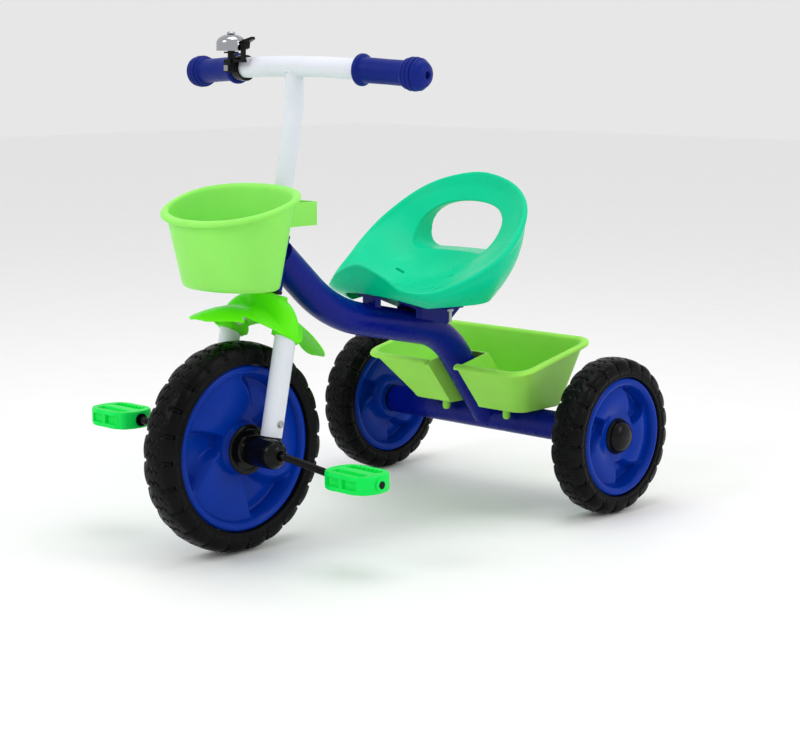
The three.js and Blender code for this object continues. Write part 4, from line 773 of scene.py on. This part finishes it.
def handlebar():
    points = [bar_point(BAR_HALF * k / 40) / MM for k in range(-40, 41)]
    bar = tube("handlebar_tube", points, BAR_RADIUS, wall=BAR_WALL, sides=48)
    done(bar, "white_enamel", "steering", "handlebar")
    middle = behind_front(0, BAR_SETBACK, BAR_HEIGHT)
    centre = in_steering(middle)
    bend = Vector((0, 0, centre.z + centre.y / math.tan(RAKE)))
    line = stations(route([(0, 0, STEM_FOOT), bend, centre], [STEM_BEND], 12), 20)
    done(tube("stem_tube", line, STEM_RADIUS, STEERING, sides=48), "white_enamel", "steering", "stem")
    weld = []
    for a in circle(48):
        x, y = (STEM_RADIUS + 0.4) * math.cos(a), (STEM_RADIUS + 0.4) * math.sin(a)
        drop = math.sqrt(max(0, BAR_RADIUS ** 2 - y ** 2)) + 0.4
        weld.append(Vector((x, y, -drop)))
    weld.append(weld[0].copy())
    bead = tube("stem_weld_bead", weld, 1.7, Matrix.Translation(middle), sides=10)
    done(bead, "white_enamel", "steering")


def grips():
    """Soft grips: an inner flange, a barrel, and a bulb with rings round a dimpled end."""
    end = GRIP_LENGTH
    outline = [(12.4, 0), (16.5, 0), (18.6, 1.8), (18.6, 5.6), (16.8, 7.6), (14.7, 10), (14.4, 40),
               (14.6, end - 31), (15.6, end - 29)]
    for k, size in enumerate((17.6, 19.2, 19.3, 18.4)):
        z = end - 26.5 + 5.2 * k
        outline += [(size - 1.6, z - 2.5), (size, z - 1.4), (size, z + 1.2), (size - 1.5, z + 2.3)]
    outline += [(15.2, end - 5.2), (12.5, end - 2), (7.5, end - 0.2), (4.4, end), (4.2, end - 6),
                (0, end - 6)]
    for side, sign in SIDES:
        start, tip = bar_point(sign * GRIP_START), bar_point(sign * BAR_HALF)
        turn = Vector((0, 0, 1)).rotation_difference(tip - start).to_matrix().to_4x4()
        place = Matrix.Translation(start) @ turn
        grip = lathe(f"{side}_grip_ringed", rounded(outline, 0.9, 3), place, 56)
        done(grip, "grip_blue", "steering", f"{side}_grip", sharp=60)


def head():
    bore, radius, low, high = 13.2, 16, HEAD_LOW, HEAD_HIGH
    profile = [(bore, low), (radius, low), (radius, high), (bore, high), (bore, low)]
    barrel = lathe("head_tube_turned", rounded(profile, 0.5), STEERING, 56)
    done(barrel, "frame_blue", "frame", "head_tube")
    over = Matrix.Rotation(math.pi, 4, "X")
    upper, lower = STEERING @ shift(0, 0, high), STEERING @ shift(0, 0, low) @ over
    for end, place in (("upper", upper), ("lower", lower)):
        cup = lathe(f"{end}_head_cup_turned", rounded(HEAD_CUP, 0.9), place, 48)
        done(cup, "black_plastic", "frame", f"{end}_head_cup")
    ring = STEERING @ shift(0, 0, STEM_FOOT)
    collar = lathe("stem_collar_turned", rounded(STEM_COLLAR, 0.8), ring, 48)
    done(collar, "bell_chrome", "steering", "stem_collar")


def bell():
    place = Matrix.Translation(bar_point(-95) + Vector((0, -19 * MM, 20.5 * MM)))
    profile = [(16.9, 0.6), (17.0, 0), (18.1, 0), (18.2, 1.0), (18.0, 1.8), (DOME_RADIUS, DOME_SIDE)]
    turns = [math.radians(6 * k) for k in range(1, 14)]
    arc = [(DOME_RADIUS * math.cos(t), DOME_SIDE + DOME_RISE * math.sin(t)) for t in turns]
    profile += arc + [(2.6, 20.0), (2.6, 18.7)]
    profile += [(r - 1.3 if r > 4 else r, z - 1.1) for r, z in reversed(arc)]
    profile += [(16.7, DOME_SIDE), (16.7, 0.8)]
    dome = lathe("bell_dome_spun", profile, place, 72)
    done(dome, "bell_chrome", "steering", "bell_dome", sharp=50)
    knob = lathe("bell_screw_knob", rounded(BELL_KNOB, 0.8), place, 40)
    done(knob, "bell_chrome", "steering", "bell_screw")


# ---- basket

BASKET_RIM = {"half": 96, "front": 65, "back": 54}
BASKET_FLOOR = {"half": 67, "front": 48, "back": 37}
BASKET_RIM_HEIGHT, BASKET_RIM_SLOPE = 432, 0.33
BASKET_FOOT = [(-24, 312), (-12, 312), (-5, 312.6), (-1.2, 315), (0.3, 319)]
BASKET_FOOT_INSIDE = [(-4, 317), (-8, 315.2), (-14, 314.6), (-24, 314.6)]
BASKET_LIP = [(-6.2, 6.8), (-4.6, 5.9), (-1.0, 5.6), (0.2, 4.8), (0.4, 3.4), (-0.4, 1.6),
              (-2.2, 0.5), (-4.6, 0.0), (-6.8, 0.2), (-8.4, 1.0), (-9.6, 3.0)]
CLIP_WALL, CLIP_CORNER = 3.2, 3


def basket_ring(shape, grow, height_at, count=112):
    """An oval round the basket, widest a little behind its middle, with a height for each y."""
    ring = []
    middle = (shape["back"] - shape["front"]) / 2 + 8
    for a in circle(count):
        c, s = math.cos(a), math.sin(a)
        power = 2 / 2.2 if s < 0 else 2 / 2.3
        x = squared(c, power) * (shape["half"] + grow)
        reach = shape["front"] + middle if s < 0 else shape["back"] - middle
        y = middle + squared(s, power) * (reach + grow)
        ring.append(behind_front(x, y, height_at(y)) / MM)
    return ring


def between(first, last, steps, start=1):
    """Rings in even steps from one ring to another."""
    return [[a.lerp(b, k / steps) for a, b in zip(first, last)] for k in range(start, steps + 1)]


def basket():
    def rim_at(drop):
        return lambda y: BASKET_RIM_HEIGHT - drop + BASKET_RIM_SLOPE * (y - BASKET_RIM["back"])

    def flat(height):
        return lambda y: height

    outside = [basket_ring(BASKET_FLOOR, grow, flat(z)) for grow, z in BASKET_FOOT]
    outside += between(outside[-1], basket_ring(BASKET_RIM, -7, rim_at(8.5)), 8)
    outside += [basket_ring(BASKET_RIM, grow, rim_at(drop)) for grow, drop in BASKET_LIP]
    top, bottom = basket_ring(BASKET_RIM, -10, rim_at(6)), basket_ring(BASKET_FLOOR, -2.6, flat(320))
    inside = between(top, bottom, 8, 0)
    inside += [basket_ring(BASKET_FLOOR, grow, flat(z)) for grow, z in BASKET_FOOT_INSIDE]
    done(loft("basket_moulded", outside + inside), "basket_green", "steering", "basket", sharp=60)


def basket_clip():
    """The loop behind the basket: a band with soft corners round the stem."""
    low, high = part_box("basket_clip")
    half, front, back = high.x / MM, low.y / MM, high.y / MM
    cut = CLIP_CORNER
    outer = [(-half, front), (half, front), (half, back - cut), (half - cut, back),
             (cut - half, back), (-half, back - cut)]
    inner_half, inner_front, inner_back = half - CLIP_WALL, front + CLIP_WALL, back - CLIP_WALL
    inner = [(-inner_half, inner_front), (inner_half, inner_front),
             (inner_half, inner_back), (-inner_half, inner_back)]
    foot, top = low.z / MM, high.z / MM
    band = prism("basket_clip_loop", outer, foot, top)
    carve(band, "DIFFERENCE", prism("hole", inner, foot - 5, top + 5))
    modify(band, "BEVEL", width=1.4 * MM, segments=3, limit_method="ANGLE",
           angle_limit=math.radians(30))
    done(settle(band), "basket_green", "steering", "basket_clip", sharp=35)


# ---- frame


MAIN_RADIUS, MAIN_BENDS, MAIN_TOP = 20.5, (190, 110), 348
MAIN_LOW_AHEAD, MAIN_LOW_HEIGHT = 96, 223
MAIN_FOOT_AHEAD, MAIN_FOOT_RISE = 6, 5
AXLE_TUBE_HALF, AXLE_TUBE_BORE, AXLE_TUBE_RADIUS = 174, 17.4, 19


def main_tube():
    head_at = joint_place("steering_turn") / MM
    head_y = head_at.y + (MAIN_TOP - head_at.z) * math.tan(RAKE)
    rear_y, rear_z = REAR_AXLE.y / MM, REAR_AXLE.z / MM
    corners = [(0, head_y + 6, MAIN_TOP - 3), behind_front(0, 158, 266) / MM,
               (0, rear_y - MAIN_LOW_AHEAD, MAIN_LOW_HEIGHT),
               (0, rear_y - MAIN_FOOT_AHEAD, rear_z + MAIN_FOOT_RISE)]
    points = stations(route(corners, MAIN_BENDS, 24), 12)
    bent = tube("main_tube_bent", points, MAIN_RADIUS, sides=56)
    done(bent, "frame_blue", "frame", "main_tube")


def rear_axle():
    half, bore, radius = AXLE_TUBE_HALF, AXLE_TUBE_BORE, AXLE_TUBE_RADIUS
    profile = [(bore, -half), (radius, -half), (radius, half), (bore, half), (bore, -half)]
    place = Matrix.Translation(REAR_AXLE) @ ACROSS
    drawn = lathe("rear_axle_tube_drawn", rounded(profile, 0.4), place, 56)
    done(drawn, "frame_blue", "frame", "rear_axle_tube")


# ---- seat

SEAT_CENTRE = behind_front(0, 328, 268)
SEAT_WIDTH, SEAT_LENGTH, SEAT_RISE, SEAT_FRONT, SEAT_PAN = 250, 229, 158, 121, 22
SEAT_LOWEST, SEAT_WALL, COLLAR_INSET = -30, 4.6, 1.2
# The rim: share of the half width, of the length and of the rise, from the back to the front.
SEAT_RIM = [
    (0, 1, 1), (0.36, 0.98, 0.96), (0.64, 0.93, 0.88), (0.84, 0.85, 0.76), (0.97, 0.72, 0.6),
    (1, 0.58, 0.44), (0.95, 0.46, 0.33), (0.84, 0.3, 0.22), (0.68, 0.16, 0.15), (0.49, 0.06, 0.17),
    (0.31, 0.015, 0.27), (0, 0, 0.35),
]
SEAT_SHARES = (0.02, 0.1, 0.2, 0.3, 0.4, 0.5, 0.6, 0.68, 0.76, 0.82, 0.87, 0.91, 0.95)
SEAT_ROLL = ((-3.2, 0.6), (-1.2, 1.4), (1.2, 0.9), (2.8, -1.0), (3.4, -4.0))
SKIRT_DOWNS = (0.12, 0.22, 0.34, 0.46, 0.58, 0.7, 0.8, 0.9, 1)
HOLE_HALF, HOLE_BOTTOM, HOLE_TOP = 70, 60, 121
BOLT_ACROSS, BOLT_SLOT_HALF, BOLT_SLOT_WIDTH = 43.7, 7, 4.8


def seat_rim(count=160):
    """The closed rim as evenly spaced points on a curve through SEAT_RIM and its mirror image."""
    left = [Vector((x * SEAT_WIDTH / 2, y * SEAT_LENGTH - SEAT_FRONT, z * SEAT_RISE))
            for x, y, z in SEAT_RIM]
    loop = left + [Vector((-p.x, p.y, p.z)) for p in left[-2:0:-1]]
    dense = []
    size = len(loop)
    for k in range(size):
        a, b, c, d = (loop[(k + j) % size] for j in (-1, 0, 1, 2))
        for j in range(24):
            t = j / 24
            dense.append(0.5 * ((2 * b) + (c - a) * t + (2 * a - 5 * b + 4 * c - d) * t * t
                                + (3 * b - a - 3 * c + d) * t ** 3))
    lengths = [0]
    for k in range(len(dense)):
        lengths.append(lengths[-1] + (dense[(k + 1) % len(dense)] - dense[k]).length)
    points = []
    index = 0
    for k in range(count):
        want = lengths[-1] * k / count
        while lengths[index + 1] < want:
            index += 1
        t = (want - lengths[index]) / (lengths[index + 1] - lengths[index])
        points.append(dense[index].lerp(dense[(index + 1) % len(dense)], t))
    return points


def seat_ring(rim_points, share, sink=0.0):
    """The pan at a share of the way from its lowest place out to the rim."""
    ring = []
    for p in rim_points:
        backward = max(0, p.y / (SEAT_LENGTH - SEAT_FRONT))
        climb = share ** (1.7 + 0.8 * backward ** 2)
        y = SEAT_LOWEST + (p.y - SEAT_LOWEST) * share
        ring.append(Vector((p.x * share, y, SEAT_PAN + (p.z - SEAT_PAN) * climb - sink)))
    return ring


def skirt_ring(rim_points, down, inset):
    """The skirt at a share of the way down from the rim to its drawn-in foot."""
    ring = []
    for p in rim_points:
        reach = 0.72 if p.y > SEAT_LOWEST else 0.93
        rise = max(0, (-p.y - 70) * 0.34)
        foot = Vector((p.x * 0.68, SEAT_LOWEST + (p.y - SEAT_LOWEST) * reach, rise))
        eased = down ** 2
        x, y = p.x + (foot.x - p.x) * eased, p.y + (foot.y - p.y) * eased
        out = Vector((x, y - SEAT_LOWEST, 0)).normalized()
        bulge = 2.5 * math.sin(math.pi * down)
        ring.append(Vector((x, y, p.z + (foot.z - p.z) * down)) + out * (bulge - inset))
    return ring


def seat_roll(rim_points, out, up):
    return [p + Vector((p.x, p.y - SEAT_LOWEST, 0)).normalized() * out + Vector((0, 0, up))
            for p in rim_points]


def seat_hole_outline(grow):
    """The hand hole's outline in (x, z), wider and flatter below."""
    half, bottom, top = HOLE_HALF + grow, HOLE_BOTTOM - grow, HOLE_TOP + grow
    middle = bottom + (top - bottom) * 0.42
    corners = [(half * 0.75, bottom), (half, bottom + 4), (half, middle), (half, top - 8),
               (half * 0.5, top), (0, top)]
    right = []
    for k in range(9):
        t = k / 8
        a, b, c = (Vector(p) for p in corners[:3])
        right.append(a.lerp(b, t).lerp(b.lerp(c, t), t))
    for k in range(1, 17):
        t = k / 16
        a, b, c, d = (Vector(p) for p in corners[2:])
        ab, bc, cd = a.lerp(b, t), b.lerp(c, t), c.lerp(d, t)
        right.append(ab.lerp(bc, t).lerp(bc.lerp(cd, t), t))
    left = [Vector((-p.x, p.y)) for p in right[-2::-1]]
    return right + left


def seat_hole_prism(grow, near, far, place):
    upright = place @ Matrix.Rotation(math.pi / 2, 4, "X")
    return prism("hole", [(p.x, p.y) for p in seat_hole_outline(grow)], -far, -near, upright)


def seat():
    """A pan, a rolled edge and a skirt in one thin skin, with a collar round the hand hole."""
    place = Matrix.Translation(SEAT_CENTRE)
    rim_points = seat_rim()
    top = [seat_ring(rim_points, share) for share in SEAT_SHARES]
    edge = [seat_roll(rim_points, out, up) for out, up in SEAT_ROLL]
    skirt = [skirt_ring(rim_points, down, 0) for down in SKIRT_DOWNS]
    skirt_inside = [skirt_ring(rim_points, down, SEAT_WALL) for down in reversed(SKIRT_DOWNS)]
    under = [seat_ring(rim_points, share, SEAT_WALL) for share in reversed(SEAT_SHARES[:-2])]
    core = [seat_ring(rim_points, share, COLLAR_INSET) for share in SEAT_SHARES]
    core += [seat_roll(rim_points, out - COLLAR_INSET, up - COLLAR_INSET) for out, up in SEAT_ROLL]
    core += [skirt_ring(rim_points, down, COLLAR_INSET) for down in SKIRT_DOWNS]
    envelope = loft("envelope", core, place)
    body = loft("seat_moulded", top + edge + skirt + skirt_inside + under, place)
    collar = carve(seat_hole_prism(5, -10, 130, place), "INTERSECT", envelope)
    body = combine(body, collar)
    melt(body, 1.25, 6)
    carve(body, "DIFFERENCE", seat_hole_prism(0, -20, 150, place))
    melt(body, 1.25, 16)
    slots = []
    for sign in (1, -1):
        near, far = sign * BOLT_ACROSS - BOLT_SLOT_HALF, sign * BOLT_ACROSS + BOLT_SLOT_HALF
        slots.append(block(near, far, -BOLT_SLOT_WIDTH / 2, BOLT_SLOT_WIDTH / 2, 5, 60, place))
    carve(body, "DIFFERENCE", combine(*slots))
    done(body, "seat_green", "frame", "seat", sharp=60)


# ---- tray

TRAY_FLOOR, TRAY_HEIGHT, TRAY_BACK_HEIGHT = 20, 62, 94
TRAY_RIM = {"half": 141, "ahead": 103, "behind": 50}
TRAY_BASE = {"half": 100, "ahead": 55, "behind": 39}
# Rise or drop, inset and corner radius of each ring of the tray.
TRAY_FOOT = [(0, 12, 10), (0, 6, 15), (0.8, 3, 18), (2.6, 1, 19), (5, 0, 20)]
TRAY_LIP = [(6.6, 7, 23), (6.2, 4.5, 25), (6.0, 1.2, 27), (5.0, 0.2, 27), (3.4, 0, 27),
            (1.6, 0.8, 27), (0.4, 2.6, 26), (0, 5, 24), (0.4, 8, 22), (1.6, 9.8, 21), (4, 10.6, 20)]
TRAY_FOOT_INSIDE = [(4.2, 3.6, 17), (2.9, 6, 15), (2.4, 9, 12), (2.4, 14, 8)]
TRAY_PEG = [(0, 5), (3.4, 5), (5, 8), (5, 21), (0, 21)]
PEG_ACROSS, PEG_AHEAD = 53.4, 29


def tray_ring(shape, inset, radius, height_at, steps=12):
    """A rectangle with round corners and divided long sides, with a height for each y."""
    half, ahead, behind = (shape[key] - inset for key in ("half", "ahead", "behind"))
    ring = []
    for side_x, side_y, quarter in ((1, 1, 0), (-1, 1, 1), (-1, -1, 2), (1, -1, 3)):
        centre_x = side_x * (half - radius)
        centre_y = behind - radius if side_y > 0 else radius - ahead
        for k in range(steps + 1):
            a = (quarter + k / steps) * math.pi / 2
            y = centre_y + radius * math.sin(a)
            ring.append(Vector((centre_x + radius * math.cos(a), y, height_at(y))))
        if quarter in (0, 2):
            x, y, z = ring[-1]
            ring += [Vector((x + (-x - x) * k / 12, y, z)) for k in range(1, 12)]
    return ring


def tray_rim(drop, inset, radius):
    ahead, behind = TRAY_RIM["ahead"], TRAY_RIM["behind"]
    slope = (TRAY_BACK_HEIGHT - TRAY_HEIGHT) / (ahead + behind)
    return tray_ring(TRAY_RIM, inset, radius,
                     lambda y: TRAY_FLOOR + TRAY_HEIGHT - drop + slope * (y + ahead))


def tray_floor(rise, inset, radius):
    return tray_ring(TRAY_BASE, inset, radius, lambda y: TRAY_FLOOR + rise)


def slot_prism(clearance, half_x, place):
    """What lies in front of the main tube's slanting back, moved back by a clearance."""
    lean = Vector((MAIN_LOW_AHEAD - MAIN_FOOT_AHEAD,
                   REAR_AXLE.z / MM + MAIN_FOOT_RISE - MAIN_LOW_HEIGHT)).normalized()
    away = Vector((-lean.y, lean.x)) * (MAIN_RADIUS + clearance)
    foot = Vector((-MAIN_FOOT_AHEAD, MAIN_FOOT_RISE)) + away

    def at(height):
        return foot.x + (height - foot.y) * lean.x / lean.y

    low, high, front = TRAY_FLOOR - 12, TRAY_FLOOR + 110, -125
    corners = [(front, low), (at(low), low), (at(high), high), (front, high)]
    points = [(x, y, z) for x in (-half_x, half_x) for y, z in corners]
    faces = [(0, 1, 2, 3), (7, 6, 5, 4), (0, 4, 5, 1), (1, 5, 6, 2), (2, 6, 7, 3), (3, 7, 4, 0)]
    return raw("slot", points, faces, place)


def tray():
    """A thin tub with a rolled lip, walled round the slot for the main tube, on two pegs."""
    place = Matrix.Translation(REAR_AXLE)
    floor = [tray_floor(*values) for values in TRAY_FOOT]
    wall = between(floor[-1], tray_rim(8, 8, 22), 6)
    outer = floor + wall + [tray_rim(*values) for values in TRAY_LIP]
    inner = between(tray_rim(6, 10.8, 20), tray_floor(6.4, 2.4, 18), 6)
    inner += [tray_floor(*values) for values in TRAY_FOOT_INSIDE]
    body = loft("tray_moulded", outer + inner, place)
    envelope = loft("envelope", floor + wall + [tray_rim(4, 8, 22)], place)
    walls = carve(slot_prism(7.4, 28, place), "INTERSECT", envelope)
    pegs = []
    for sign in (1, -1):
        at_peg = place @ shift(sign * PEG_ACROSS, -PEG_AHEAD, 0)
        pegs.append(lathe("peg", rounded(TRAY_PEG, 1.5), at_peg, 32))
    carve(body, "UNION", walls)
    carve(body, "DIFFERENCE", slot_prism(5, 25.5, place))
    combine(body, *pegs)
    done(body, "tray_green", "frame", "tray", sharp=38)


# ---- camera, light and floor


LENS, SENSOR = 86.94, 36
CAMERA_AT, CAMERA_TARGET = Vector((1.6757, -1.6920, 0.5886)), Vector((0, 0.0654, 0.17482))
FLOOR_HALF, FLOOR_HEIGHT = 9000, -0.4
AMBIENT = 0.80


def add_at(name, data, place, target):
    """A new object at a place, turned so that it looks at the target."""
    made = bpy.data.objects.new(name, data)
    made.location = place
    made.rotation_euler = (Vector(target) - Vector(place)).to_track_quat("-Z", "Y").to_euler()
    SCENE.collection.objects.link(made)
    return made


def camera():
    data = bpy.data.cameras.new("camera")
    data.lens = LENS
    data.sensor_width = SENSOR
    SCENE.camera = add_at("camera", data, CAMERA_AT, CAMERA_TARGET)


def softbox(name, place, target, size, power):
    data = bpy.data.lights.new(name, "AREA")
    data.shape = "RECTANGLE"
    data.size, data.size_y = size
    data.energy = power
    add_at(name, data, place, target)


def studio():
    corners = ((-1, -1), (1, -1), (1, 1), (-1, 1))
    points = [(x * FLOOR_HALF, y * FLOOR_HALF, FLOOR_HEIGHT) for x, y in corners]
    floor = raw("floor", points, [(0, 1, 2, 3)])
    floor.data.materials.append(finish("floor_pale", 0xFAFAFA, 0.6, 0.01, 0.05, 300, 0.00002))
    world = bpy.data.worlds.new("studio")
    world.use_nodes = True
    background = world.node_tree.nodes["Background"]
    background.inputs["Color"].default_value = (1, 1, 1, 1)
    background.inputs["Strength"].default_value = AMBIENT
    SCENE.world = world
    SCENE.view_settings.view_transform = "Standard"
    softbox("key", (-0.5, -2.2, 1.9), (0, 0, 0.25), (1.0, 1.0), 14)
    softbox("fill", (2.0, 0.7, 1.3), (0, 0, 0.25), (0.8, 1.2), 8)
    softbox("top", (0, 0.1, 2.4), (0, 0, 0.2), (1.2, 1.2), 13)


camera()
studio()
wheels()
crank()
pedals()
fork()
mudguard()
handlebar()
grips()
head()
bell()
basket()
basket_clip()
main_tube()
rear_axle()
seat()
tray()

SLOTS = {part["node"]: part["material_slot"] for part in frame["record"]["subparts"]}
for name, cad in frame["nodes"].items():
    cad.data.materials.clear()
    cad.data.materials.append(FINISH[SLOTS[name]])
